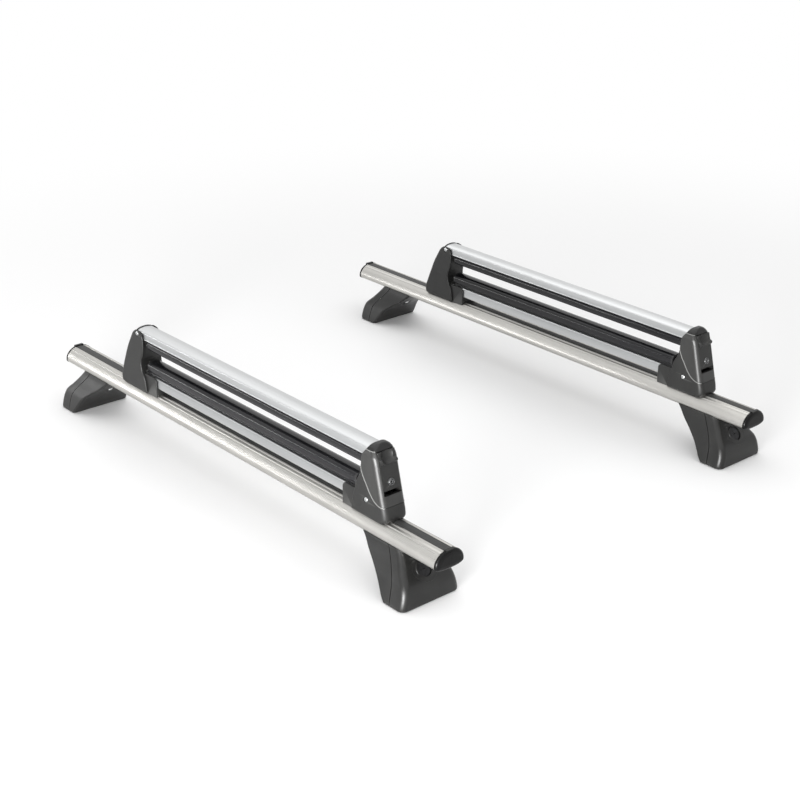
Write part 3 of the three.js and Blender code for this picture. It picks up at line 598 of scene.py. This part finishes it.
# Raised rim round the lock's recess
def lockRim():
    radius, proud, depth = footLock["rim"] / 2, footLock["rimProud"], footLock["recessDepth"]
    edge = [(radius - inset, proud * share) for inset, share in footLock["rimProfile"]]
    profile = [(0, -depth), (radius, -depth), *edge, (0, proud)]
    return onLockFace(turned(profile, crosswise, 56))


# Fine round bead that follows the face around the lock
def lockArc():
    long, cut, outer = footLock["arcReach"], footLock["arcCut"], footLock["arc"]
    tool = onLockFace(faceRod(outer, -long, long, 96))
    carve(tool, onLockFace(faceRod(outer - footLock["arcWidth"], -cut, cut, 96)))
    carve(tool, footSkin(-footLock["arcProud"], foot["clear"], footLock["arcTop"]), "INTERSECT")
    return carve(tool, footSkin(footLock["arcSink"], 0, foot["top"]))


def footBodyTemplate():
    inset, notch, over = foot["wall"] + foot["coreGap"], foot["notch"], foot["pocketOver"]
    core = footSkin(inset, sole["thick"] + fit, foot["seatTop"] - inset)
    carve(core, footSide(1, -foot["wall"]), "INTERSECT")
    carve(core, block((-reach, -notch, footLock["height"] - notch), (reach, notch, reach)))
    obj = carve(footOuter(), footSide(-1, foot["seamGap"]), "INTERSECT")
    carve(obj, footPadShape(sole["inset"] - fit, -foot["overrun"], sole["thick"] + fit))
    carve(obj, core, "UNION")
    carve(obj, post(foot["bore"], *foot["boreEnds"], foot["boltX"]))
    carve(obj, post(foot["nutPocket"], -over, foot["seatTop"] - foot["saddle"], foot["boltX"]))
    return soften(obj, foot["edge"])


def footPadShape(inset, low, high):
    x1, x0, half = foot["rows"][0][1:]
    radii = foot["innerRadius"], foot["outerRadius"]
    rings = [(z, x0 + inset, x1 - inset, half - inset, *radii) for z in (low, high)]
    return loft(rings, addRounded)


def footPadTemplate():
    obj = footPadShape(sole["inset"], 0, sole["thick"])
    half = foot["rows"][0][3] * sole["treadShare"]
    for k in range(sole["treads"]):
        y = half * (2 * k / (sole["treads"] - 1) - 1)
        carve(obj, moved(block(*sole["tread"]), at(0, y)))
    return soften(obj, sole["edge"])


def footLockTemplate():
    radius, wide, face = footLock["barrel"] / 2, footLock["disc"] / 2, footLock["face"]
    back, seat = face - footLock["length"], footLock["seat"] - footLock["recessDepth"]
    edge = [(wide - inset, face + up) for inset, up in footLock["discEdge"]]
    profile = [(0, back), (radius, back), (radius, seat), (wide, seat), *edge, (0, face)]
    obj = turned(profile, crosswise, 64)
    carve(obj, moved(block(*footLock["slot"]), at(face)))
    return onLockFace(soften(obj, footLock["edge"]))


print("latch towers")
tower = {
    "rows": [
        (101, -16, 59, 21.5), (104, -15.4, 65, 23.2), (109, -14.3, 67.2, 23.5), (116, -12.6, 66.5, 23.5),
        (128, -9.7, 63.4, 23.5), (142, -6, 59.8, 23.5), (154, -2.5, 56.7, 23.5), (166, 4, 53.7, 23.5),
        (178, 8, 50.6, 23.5), (184, 8.5, 49.1, 23.5), (200, 9.5, 44.9, 23.5), (205, 11.5, 43, 23.3),
        (210, 15, 40.5, 21.8), (214, 17.5, 38, 19.7), (217.5, 19, 36, 16.9), (220.3, 20.5, 34.3, 13.2),
        (222.4, 22.5, 32.8, 8.6), (223.5, 25, 31.5, 4),
    ],
    "seam": [
        (9.8, 185), (11.2, 179), (14.7, 170.6), (22.5, 159), (31.6, 145.5), (42, 135.5), (53, 131),
        (64, 129.6), (76, 129.5),
    ],
    "seamStep": 1.6, "seamGap": 0.35, "outerRadius": 11, "innerRadius": 2.5, "half": 23.5, "wall": 4,
    "skinFoot": 101, "skinTop": 215, "apart": 1, "crownFrom": 200,
    "cradle": ((-40.5, -19, 83.4), (14, 19, 137)), "cradleCorner": (8, 10), "cradleEdge": (1.7, 4),
    "cradleSharp": 100, "armEnd": 1.7, "edge": 0.45,
    "boltX": 49, "bore": 8.8, "boreEnds": (75, 145), "floor": 111.7, "webOuter": 8, "webInset": 22,
    "headWall": 10.5, "headInset": 6, "cavityInner": 14, "cavityTop": 196.2, "socket": 27,
    "capSeam": 213.3, "capGap": 0.5, "capEdge": 0.3, "footPoint": (58.6, 146.8), "headPoint": (44.9, 200),
    "hookSlot": ((-24, -7, 4), (0, 7, 53.5)), "axle": 3.3, "axleEnd": 21.6, "pivot": (33, 166),
}
low, high = tower["footPoint"], tower["headPoint"]
tilt = math.atan2(low[0] - high[0], high[1] - low[1])


def towerSkin(kind, low, high, walls=(0, 0, 0), step=2.6):
    rows = kind["rows"]
    radii = kind["innerRadius"], kind["outerRadius"]
    crown = [row[0] for row in rows if row[0] > tower["crownFrom"] and low < row[0] < high]
    rings = []
    for z in sorted({*levels(low, high, step), *crown}):
        x0, x1, half = rowAt(rows, z)
        rings.append((z, x0 + walls[0], x1 - walls[1], half - walls[2], *radii))
    return loft(rings, addRounded)


# Everything above the seam between head and base, or below it
def seamBlock(side, shift):
    seam = tower["seam"]
    steps = levels(seam[0][0], seam[-1][0], tower["seamStep"])
    line = [(x + shift, rowAt(seam, x)[0] + shift) for x in steps]
    edge = 2 * reach if side > 0 else 0
    outline = [(-reach, line[0][1]), *line, (reach, line[-1][1]), (reach, edge), (-reach, edge)]
    return pulled(outline, -reach, reach, across="y")


def onFace(obj):
    x, z = tower["footPoint"]
    return moved(obj, at(x, 0, z, "Y", -tilt))


def barTool():
    return pulled(closedBar(fit), -reach, reach)


def armTool(arm, room, end):
    return pulled(armShape(arm, room), -reach, end)


def cutTowerFoot(obj, boltX):
    half = armSize["half"] + fit
    carve(obj, barTool())
    carve(obj, armTool(lowerArm, fit, tower["armEnd"]))
    carve(obj, block((-reach, -half, lowerArm["face"]), (0, half, upperArm["face"])))
    carve(obj, post(tower["bore"], *tower["boreEnds"], boltX))


# Room inside a tower, over its floor and outside its web
def towerCavity(kind, top, inset):
    wall = tower["wall"]
    room = block((tower["webOuter"], -reach, tower["floor"]), (reach, reach, reach))
    skin = towerSkin(kind, tower["skinFoot"] + 3 * tower["apart"], top, (inset, wall, wall))
    return carve(skin, room, "INTERSECT")


# Block that carries the lower arm, its upper inner corner well rounded
def cradleShape():
    (x0, _, _), (x1, side, top) = tower["cradle"]
    near = tower["apart"]
    obj = block(*tower["cradle"])
    bm = bmesh.new()
    bm.from_mesh(obj.data)

    def isCorner(co):
        return co.x < x0 + near and co.z > top - near

    def isSide(co):
        return abs(co.y) > side - near and (co.x < x1 - near or co.z > tower["cradleSharp"])

    for fits, width, steps in ((isCorner, *tower["cradleCorner"]), (isSide, *tower["cradleEdge"])):
        edges = [e for e in bm.edges if e.calc_face_angle() > 1 and all(fits(v.co) for v in e.verts)]
        bmesh.ops.bevel(
            bm, geom=edges, offset=width, segments=steps, profile=0.5, affect="EDGES", material=-1,
        )
    bm.to_mesh(obj.data)
    bm.free()
    return obj


pin = {
    "spot": (21.3, 130.2), "radius": 3, "head": 4.3, "dome": 1.8, "sink": 1.1, "ring": 5.2, "ringDepth": 6,
    "ringSpare": 0.1, "rim": 0.15, "steps": 10, "bore": 80,
}


# Round sink on both sides in which a rivet's head lies
def pinRoom(obj, x, z, half):
    deep = pin["ringDepth"]
    carve(obj, axle(pin["radius"] + fit, pin["bore"], x, z))
    for side in (-1, 1):
        y = side * (half + deep / 2 - pin["sink"] - pin["ringSpare"])
        carve(obj, axle(pin["ring"], deep, x, z, y))


def latchBaseTemplate():
    obj = towerSkin(tower, tower["skinFoot"], tower["skinTop"])
    carve(obj, seamBlock(-1, -tower["seamGap"]), "INTERSECT")
    carve(obj, towerCavity(tower, tower["skinTop"], tower["webInset"]))
    carve(obj, cradleShape(), "UNION")
    cutTowerFoot(obj, tower["boltX"])
    pinRoom(obj, *pin["spot"], tower["half"])
    return soften(obj, tower["edge"])


# Size of the pale strips that carry the painted seam highlight
highlightStrip = {
    "width": 1.05, "proud": 0.35, "deep": 1.2, "over": 0.1, "room": 0.4, "end": 61, "capStep": 0.35,
    "capReach": 3,
}


# Thin pale strip that follows the seam between head and base: a painted highlight where the rim catches
# light
def seamHighlightStripTemplate():
    low, high, apart = tower["skinFoot"], tower["skinTop"], tower["apart"]
    obj = towerSkin(tower, low + 2 * apart, high + apart, [-highlightStrip["proud"]] * 3)
    carve(obj, seamBlock(-1, -highlightStrip["over"]), "INTERSECT")
    carve(obj, seamBlock(1, -highlightStrip["width"]), "INTERSECT")
    carve(obj, towerSkin(tower, low + apart, high + 2 * apart, [highlightStrip["deep"]] * 3))
    carve(obj, armTool(upperArm, highlightStrip["room"], tower["socket"]))
    return carve(obj, block((highlightStrip["end"], -reach, 0), (reach, reach, reach)))


slider = {
    "width": 33, "depth": 5.6, "length": 61.1, "sink": 0.5, "gap": 0.5, "travel": 7, "gapRoom": 6.6,
    "gapDepth": 14.5, "footEdge": (0.6, 0.8), "headEdge": (0.4, 0.6), "ledgeUp": 42, "edge": 0.5,
    "ledge": [
        (-0.5, -4.4), (-0.2, -2.64), (2.6, -0.5), (3.7, 1.1), (4, 2.2), (3.7, 3.52), (2.8, 4.4), (-0.3, 6.9),
        (-0.5, 9.4),
    ],
    "scoopBall": 17, "scoopDepth": 4.9, "scoopUp": 54.6,
    "cam": [(44.5, 185), (34.5, 185), (27, 195), (44.5, 195)], "camHalf": 4,
}
sliderFoot = slider["travel"] + slider["gap"]
sliderHalf = slider["width"] / 2


# Room of the slider on the tower's slanting face
def sliderRoom(deep, low=0, out=reach, high=reach):
    half = sliderHalf + slider["gap"]
    return onFace(block((-deep, -half, low), (out, half, high)))


def latchHeadTemplate():
    seam, foot = tower["capSeam"], tower["skinFoot"]
    obj = carve(towerSkin(tower, foot + tower["apart"], seam), seamBlock(1, tower["seamGap"]), "INTERSECT")
    walls = (tower["headInset"], tower["headWall"], tower["wall"])
    cavity = towerSkin(tower, foot + 3 * tower["apart"], tower["cavityTop"], walls)
    carve(obj, carve(cavity, block((tower["cavityInner"], -reach, 0), (reach, reach, reach)), "INTERSECT"))
    carve(obj, armTool(upperArm, fit, tower["socket"] + fit))
    carve(obj, sliderRoom(slider["sink"] + slider["depth"] + slider["gap"]))
    carve(obj, onFace(block(*tower["hookSlot"])))
    carve(obj, sliderRoom(slider["gapDepth"], 0, 0, slider["gapRoom"]))
    carve(obj, axle(tower["axle"], 2 * (tower["axleEnd"] + fit), *tower["pivot"]))
    return soften(obj, tower["edge"])


def latchCapTemplate():
    obj = towerSkin(tower, tower["capSeam"] + tower["capGap"], tower["rows"][-1][0], step=1)
    carve(obj, armTool(upperArm, fit, tower["socket"] + fit))
    return soften(obj, tower["capEdge"])


# The same pale strip, a painted highlight, where the cap sits on the head, round to the slider's sides
def capHighlightStripTemplate():
    low, over, span = tower["capSeam"], highlightStrip["over"], highlightStrip["capReach"]
    obj = towerSkin(tower, low - over, low + tower["capGap"] + over, [-highlightStrip["proud"]] * 3, highlightStrip["capStep"])
    carve(obj, towerSkin(tower, low - span, low + span, [highlightStrip["deep"]] * 3))
    carve(obj, armTool(upperArm, highlightStrip["room"], tower["socket"] + highlightStrip["room"]))
    return carve(obj, sliderRoom(reach))


def sliderTemplate():
    back, face = -slider["sink"] - slider["depth"], -slider["sink"]
    start, end = sliderFoot, sliderFoot + slider["length"]
    (footIn, footUp), (headIn, headDown) = slider["footEdge"], slider["headEdge"]
    outline = [
        (back, start), (face - footIn, start), (face, start + footUp),
        *[(out, start + slider["ledgeUp"] + up) for out, up in slider["ledge"]],
        (face, end - headDown), (face - headIn, end), (back, end),
    ]
    obj = pulled(outline, -sliderHalf, sliderHalf, across="y")
    ball = bmesh.new()
    bmesh.ops.create_uvsphere(ball, u_segments=72, v_segments=48, radius=slider["scoopBall"])
    middle = face + slider["scoopBall"] - slider["scoopDepth"]
    bmesh.ops.translate(ball, vec=(middle, 0, slider["scoopUp"] + sliderFoot), verts=ball.verts)
    carve(obj, stand(ball))
    hole = faceRod(lock["barrel"] + lock["room"], 4 * back, reach)
    onFace(carve(obj, moved(hole, at(0, 0, sliderFoot + lock["up"]))))
    carve(obj, pulled(slider["cam"], -slider["camHalf"], slider["camHalf"], across="y"), "UNION")
    return soften(obj, slider["edge"], 3)


# The lock's profile as (distance from its rim, height over the slider's face)
lock = {
    "up": 12.3, "barrel": 12, "room": 0.6, "edge": 0.12, "keyhole": 3.2,
    "slot": ((-4, -0.75, -3.2), (2, 0.75, 3.2)),
    "profile": [
        (6, -11.5), (0, -11.5), (0, -0.2), (0.3, 0.5), (0.9, 0.5), (1.2, -0.1), (1.2, -1.9), (2.4, -1.9),
        (2.4, -0.2), (2.7, 0.1), (6, 0.1),
    ],
}


def lockTemplate():
    radius, face = lock["barrel"] / 2, -slider["sink"]
    profile = [(radius - inset, face + up) for inset, up in lock["profile"]]
    obj = turned(profile, crosswise, 56)
    (back, *_), (front, *_) = lock["slot"]
    carve(obj, moved(block(*lock["slot"]), at(face)))
    carve(obj, faceRod(lock["keyhole"], face + back, face + front, 24))
    return onFace(moved(soften(obj, lock["edge"]), at(0, 0, sliderFoot + lock["up"])))


# A rivet across a tower, domed at both ends
def pinTemplate(x, z, half):
    faces, rim, head = half - pin["sink"], pin["rim"], pin["head"]
    dome = [(head * math.cos(a), faces + pin["dome"] * math.sin(a) + rim) for a in sweep(pin["steps"])]
    top = [(pin["radius"], faces - shaping["sliver"]), (head - rim, faces), *dome]
    profile = [(r, -h) for r, h in reversed(top)] + top
    return turned(profile, at(x, 0, z, "X", quarter))


print("hinge towers")
hinge = {
    "rows": [
        (101, -12, 66, 21), (104, -12, 71, 22.8), (112, -11, 72.4, 23), (120, -10, 70.6, 23),
        (130, -7, 66.8, 23), (140, -1, 62.8, 23), (155, 2, 56.8, 22.7), (177, -3, 48.8, 21),
        (188, -3.6, 43, 20.4), (199.5, -3.2, 36.5, 20), (205, -2, 33, 20), (209.5, 0.6, 28.5, 19.9),
        (212.3, 4, 24.5, 19.4), (213.8, 7, 21.6, 18.6), (214.6, 9.5, 18.6, 17.7),
    ],
    "outerRadius": 8, "innerRadius": 2.5, "half": 20, "cheekGap": 17.2, "cheekFloor": 196, "boltX": 37,
    "pin": (13, 208.4), "plugFrom": -10, "plugOver": 1, "armStop": 16, "rimHalf": 16.6, "rimSide": 212.3,
    "rimTop": 217.8, "rimThick": 2.4, "rimSteps": 40, "rimEdge": 0.7,
}


def hingeTowerTemplate():
    gap = hinge["cheekGap"]
    obj = towerSkin(hinge, tower["skinFoot"], hinge["rows"][-1][0])
    carve(obj, towerCavity(hinge, tower["skinTop"] + tower["apart"], 0))
    carve(obj, cradleShape(), "UNION")
    cutTowerFoot(obj, hinge["boltX"])
    carve(obj, block((-reach, -gap, hinge["cheekFloor"]), (reach, gap, reach)))
    pinRoom(obj, *hinge["pin"], hinge["half"])
    return soften(obj, tower["edge"])


def hingeHeadTemplate():
    stop, side, half, foot = hinge["armStop"], hinge["rimSide"], hinge["rimHalf"], upperArm["face"]
    angles = sweep(hinge["rimSteps"], math.pi)
    crown = [(half * math.cos(a), side + (hinge["rimTop"] - side) * math.sin(a)) for a in angles]
    outline = [(-half, foot), (half, foot), *crown]
    rim = pulled(outline, stop + fit, stop + fit + hinge["rimThick"])
    hollow = armHollow(upperArm, armSize["wall"] + fit)
    carve(rim, pulled(hollow, hinge["plugFrom"], stop + hinge["plugOver"]), "UNION")
    carve(rim, axle(pin["radius"] + 2 * fit, pin["bore"], *hinge["pin"]))
    return soften(rim, hinge["rimEdge"], 3)


print("arms and pads")
armSize = {
    "half": 16, "wall": 2, "root": (13, 6), "mouth": 9, "mouthEdge": 0.3, "steps": 56, "bead": 1.9,
    "beadProud": 0.35, "corner": [(0.6, 0), (0.15, 0.2), (0, 0.7)],
    "beadEdge": [(0, -0.4), (0.175, 0), (0.35, 0.3)],
}
upperArm = {"face": 199.5, "flip": 1, "side": 12.5, "arch": 5, "from": -270.4, "to": 376.5}
lowerArm = {"face": 136.3, "flip": -1, "side": 17, "arch": 5, "from": -255.8, "to": 350.9}


def onArm(arm, points):
    return [(y, arm["face"] + arm["flip"] * z) for y, z in points]


def archOf(arm, grow):
    half, angles = armSize["half"] + grow, sweep(armSize["steps"], math.pi)
    return [(half * math.cos(a), arm["side"] + (arm["arch"] + grow) * math.sin(a)) for a in angles]


def armShape(arm, grow=0):
    half = armSize["half"] + grow
    return onArm(arm, [(-half, -grow), (half, -grow), *archOf(arm, grow)])


def armHollow(arm, inset):
    half = armSize["half"] - inset
    floor = armSize["root"][1] + inset
    return onArm(arm, [(-half, floor), (half, floor), *archOf(arm, -inset)])


def armTemplate(arm):
    half, wall, mouth, edge = (armSize[k] for k in ("half", "wall", "mouth", "mouthEdge"))
    root, depth = armSize["root"]
    right = [
        (root, depth), (root, wall), (mouth, wall), (mouth, edge), (mouth + edge, 0),
        *[(half - inset, up) for inset, up in armSize["corner"]],
        *[(half - inset, armSize["bead"] + up) for inset, up in armSize["beadEdge"]],
    ]
    outline = onArm(arm, [*right, *archOf(arm, -armSize["beadProud"]), *mirrored(right)])
    return pulled(outline, arm["from"], arm["to"], holes=[armHollow(arm, armSize["wall"])])


padSize = {
    "half": 14.4, "shoulder": 2.9, "shoulderDepth": 3.6, "bulge": 7, "crown": 9, "crownPower": 0.9,
    "wall": 3.5, "ribs": 2, "ribSteps": 8, "ribProud": 0.5, "bulbSteps": (12, 24), "hollowSteps": 24,
    "cuts": 90, "wave": 0.5, "waveDepth": 6, "swells": ((31, 0, 0.5), (13.7, 1.3, 0.3), (57, 0.6, 0.6)),
}
upperPad = {"depth": 20.5, "from": -245.4, "to": 355.5}
lowerPad = {"depth": 23, "from": -246.4, "to": 337.5}


def padTemplate(arm, pad):
    root, height = armSize["root"]
    wall, mouth = armSize["wall"], armSize["mouth"]
    half, neck, depth = padSize["half"], padSize["half"] - padSize["shoulder"], pad["depth"]
    shoulder, crown, perRib = padSize["shoulderDepth"], padSize["crown"], padSize["ribSteps"]
    ribs = []
    steps = padSize["ribs"] * perRib
    for k in range(steps + 1):
        down = fit + (shoulder - fit) * k / steps
        ribs.append((neck + padSize["ribProud"] * (1 - math.cos(k / perRib * math.tau)) / 2, -down))
    bulb = []
    above, below = padSize["bulbSteps"]
    for angle in sweep(above)[1:]:
        out = (half - neck) * math.sin(angle)
        bulb.append((neck + out, -shoulder - padSize["bulge"] * (1 - math.cos(angle))))
    for angle in sweep(below)[:-1]:
        out = half * math.cos(angle) ** padSize["crownPower"]
        bulb.append((out, crown * (1 - math.sin(angle)) - depth))
    right = [
        (root - fit, height - fit), (root - fit, wall + fit), (mouth - fit, wall + fit), (mouth - fit, -fit),
        *ribs, *bulb,
    ]
    low, high = padSize["wall"] - depth, -shoulder - padSize["wall"]
    middle, rise, wide = (low + high) / 2, (high - low) / 2, half - padSize["wall"]
    angles = sweep(padSize["hollowSteps"], math.tau)[:-1]
    hollow = onArm(arm, [(wide * math.cos(a), middle + rise * math.sin(a)) for a in angles])
    outline = onArm(arm, right + [(0, -depth)] + mirrored(right))
    obj = pulled(outline, pad["from"], pad["to"], holes=[hollow], cuts=padSize["cuts"])
    for vertex in obj.data.vertices:
        x, y, z = vertex.co
        down = (arm["face"] - z) * arm["flip"]
        share = min(1, max(0, (down - shoulder) / padSize["waveDepth"]))
        swell = sum(part * math.sin(x / length + shift) for length, shift, part in padSize["swells"])
        vertex.co.y = y * (1 - padSize["wave"] * share * (1 + swell) / 2 / half)
    return obj


templates = {
    "crossbar": crossbarTemplate(),
    "endCap": capTemplate(),
    "footCover": footCoverTemplate(),
    "footBody": footBodyTemplate(),
    "footPad": footPadTemplate(),
    "footLock": footLockTemplate(),
    "latchBase": latchBaseTemplate(),
    "seamHighlightStrip": seamHighlightStripTemplate(),
    "latchHead": latchHeadTemplate(),
    "latchCap": latchCapTemplate(),
    "capHighlightStrip": capHighlightStripTemplate(),
    "slider": sliderTemplate(),
    "lock": lockTemplate(),
    "basePin": pinTemplate(*pin["spot"], tower["half"]),
    "hingeTower": hingeTowerTemplate(),
    "hingeHead": hingeHeadTemplate(),
    "hingePin": pinTemplate(*hinge["pin"], hinge["half"]),
    "upperArm": armTemplate(upperArm),
    "lowerArm": armTemplate(lowerArm),
    "upperPad": padTemplate(upperArm, upperPad),
    "lowerPad": padTemplate(lowerArm, lowerPad),
} | {f"strip_{tag}": stripTemplate(shift) for tag, shift in layout["barShift"].items()}
print("templates ready")

for tag, y in layout["rows"].items():
    middle = at(layout["barShift"][tag], y)
    latch = at(layout["latchEnd"], y)
    hingeSpot = at(-layout["hingeEnd"], y, 0, "Z", math.pi)
    row = at(0, y)
    arm = f"arm_{tag}"
    for key, name, spot, body, slotName, finish, nodes in (
        ("crossbar", "bar", middle, "frame", "bar_aluminium", "barAluminium", ["crossbar"]),
        (f"strip_{tag}", "strip", middle, "frame", "rubber", "stripRubber", ["slot_strip"]),
        ("latchBase", "base", latch, "frame", "tower_plastic", "towerPlastic", ["latch_base"]),
        ("seamHighlightStrip", "seam_painted_highlight", latch, "frame", "tower_plastic", "seamPaintedHighlight", []),
        ("basePin", "base_rivet", latch, "frame", "steel", "zincSteel", ["base_pin"]),
        ("latchHead", "head", latch, arm, "tower_plastic", "headPlasticPaintedLight", ["latch_head"]),
        ("latchCap", "head_cap", latch, arm, "tower_plastic", "capPlastic", []),
        ("capHighlightStrip", "cap_painted_highlight", latch, arm, "tower_plastic", "seamPaintedHighlight", []),
        ("slider", "slider", latch, f"slider_{tag}", "tower_plastic", "towerPlastic", ["release_slider"]),
        ("lock", "lock", latch, f"lock_{tag}", "steel", "barrelSteel", ["lock_cylinder"]),
        ("hingeTower", "hinge_post", hingeSpot, "frame", "tower_plastic", "towerPlastic", ["hinge_tower"]),
        ("hingeHead", "hinge_cap", hingeSpot, arm, "tower_plastic", "capPlastic", ["hinge_head"]),
        ("hingePin", "hinge_rivet", hingeSpot, "frame", "steel", "zincSteel", ["hinge_pin"]),
        ("upperArm", "arm_upper", row, arm, "arm_aluminium", "armAluminium", ["upper_arm"]),
        ("lowerArm", "arm_lower", row, "frame", "arm_aluminium", "armAluminium", ["lower_arm"]),
        ("upperPad", "pad_upper", row, arm, "rubber", "padRubber", ["upper_pad"]),
        ("lowerPad", "pad_lower", row, "frame", "rubber", "padRubber", ["lower_pad"]),
    ):
        replaced = [f"{node}_{tag}" for node in nodes]
        place(key, f"{name}_{tag}", spot, body, finish, replaced)
    for where, side in layout["ends"].items():
        angle = 0 if side > 0 else math.pi
        turn = at(side * layout["footReach"], y, 0, "Z", angle)
        tip = at(side * layout["barHalf"] + layout["barShift"][tag], y, 0, "Z", angle)
        whole = f"{tag}_{where}"
        for key, name, spot, body, slotName, finish, node in (
            ("endCap", "cap", tip, "frame", "foot_plastic", "tipPlastic", "end_cap"),
            ("footBody", "foot", turn, "frame", "foot_plastic", "footPlasticPaintedShade", "foot_body"),
            ("footPad", "sole", turn, "frame", "rubber", "treadRubber", "foot_pad"),
            ("footCover", "cover", turn, f"cover_{whole}", "foot_plastic", "footPlasticPaintedShade", "foot_cover"),
            ("footLock", "key", turn, f"key_{whole}", "steel", "lockSteel", "foot_lock"),
        ):
            place(key, f"{name}_{whole}", spot, body, finish, [f"{node}_{whole}"])

for template in templates.values():
    bpy.data.objects.remove(template)
for name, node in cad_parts.items():
    node.data.materials.clear()
    node.data.materials.append(finishes["zincSteel"])
print("pieces placed")

stageLook = {
    "floorSize": 14, "floorColour": (0.92, 0.92, 0.92), "paperRough": 0.9, "worldLevel": 0.44, "white": 1.0,
    "middle": (0.2, 0.1, 0), "paleFrom": 0.9, "paleTo": 2.3,
}
bm = bmesh.new()
bmesh.ops.create_grid(bm, x_segments=1, y_segments=1, size=stageLook["floorSize"] / 2)
floor = stand(bm, "floor")


# Strength of the white that only straight, mirrored and see-through rays meet
def addSeenShare(tree):
    paths = addNode(tree, "LightPath", {}).outputs
    share = paths["Is Camera Ray"]
    for name in ("Is Glossy Ray", "Is Transmission Ray"):
        share = addNode(tree, "Math", {0: share, 1: paths[name]}, operation="MAXIMUM").outputs["Value"]
    return share


floorFinish = bpy.data.materials.new("floorPaper")
floorFinish.use_nodes = True
tree = floorFinish.node_tree
paper = feed(tree, tree.nodes["Principled BSDF"], {
    "Base Color": (*stageLook["floorColour"], 1), "Specular IOR Level": 0,
    "Roughness": stageLook["paperRough"],
})
spot = addNode(tree, "TexCoord", {}).outputs["Object"]
away = addNode(tree, "VectorMath", {0: spot, 1: stageLook["middle"]}, operation="DISTANCE").outputs["Value"]
inputs = {"Value": away, "From Min": stageLook["paleFrom"], "From Max": stageLook["paleTo"]}
fade = addNode(tree, "MapRange", inputs, interpolation_type="SMOOTHSTEP").outputs["Result"]
share = addNode(tree, "Math", {0: fade, 1: addSeenShare(tree)}, operation="MULTIPLY").outputs["Value"]
pale = addNode(tree, "Emission", {"Strength": stageLook["white"]}).outputs["Emission"]
mix = addNode(tree, "MixShader", {"Fac": share, 1: paper.outputs["BSDF"], 2: pale})
feed(tree, tree.nodes["Material Output"], {"Surface": mix.outputs["Shader"]})
floor.data.materials.append(floorFinish)

world = bpy.data.worlds.new("studio")
scene.world = world
world.use_nodes = True
tree = world.node_tree
inputs = {"Value": addSeenShare(tree), "To Min": stageLook["worldLevel"], "To Max": stageLook["white"]}
strength = addNode(tree, "MapRange", inputs).outputs["Result"]
feed(tree, tree.nodes["Background"], {"Color": (1, 1, 1, 1), "Strength": strength})

lamps = {
    "overhead": {"place": (-0.35, 0.5, 3), "aim": (0, 0, 0), "power": 1.6, "angle": 90},
    "front": {"place": (1.55, -2.6, 0.18), "aim": (0.4, -0.39, 0.16), "size": (1.0, 0.42), "power": 175},
    "high": {"place": (1.35, -2.05, 1.5), "aim": (0.4, -0.39, 0.1), "size": (0.5, 0.8), "power": 11},
    "left": {"place": (-2.0, -1.95, 0.4), "aim": (0, -0.3, 0.15), "size": (0.9, 0.14), "power": 8},
}
for name, lamp in lamps.items():
    light = bpy.data.lights.new(name, "AREA" if "size" in lamp else "SUN")
    light.energy = lamp["power"]
    if "size" in lamp:
        light.shape = "RECTANGLE"
        light.size, light.size_y = lamp["size"]
    else:
        light.angle = math.radians(lamp["angle"])
    obj = bpy.data.objects.new(name, light)
    obj.location = lamp["place"]
    towards = Vector(lamp["aim"]) - Vector(lamp["place"])
    obj.rotation_euler = towards.to_track_quat("-Z", "Y").to_euler()
    shown.objects.link(obj)

view = {
    "azimuth": 48.7044, "elevation": 23.7203, "roll": 0.5420, "lens": 70.18, "sensor": 36,
    "place": (1.98314, -1.74480, 1.21932),
}
azimuth, elevation, roll = (math.radians(view[k]) for k in ("azimuth", "elevation", "roll"))
level = math.cos(elevation)
forward = Vector((-math.sin(azimuth) * level, math.cos(azimuth) * level, -math.sin(elevation)))
right = Vector((math.cos(azimuth), math.sin(azimuth), 0))
up = right.cross(forward)
rolledRight = right * math.cos(roll) + up * math.sin(roll)
rolledUp = up * math.cos(roll) - right * math.sin(roll)
camera = bpy.data.objects.new("camera", bpy.data.cameras.new("camera"))
camera.data.lens = view["lens"]
camera.data.sensor_width = view["sensor"]
turnCamera = Matrix((rolledRight, rolledUp, -forward)).transposed()
camera.matrix_world = Matrix.Translation(view["place"]) @ turnCamera.to_4x4()
shown.objects.link(camera)
scene.camera = camera
scene.view_settings.view_transform = "Standard"
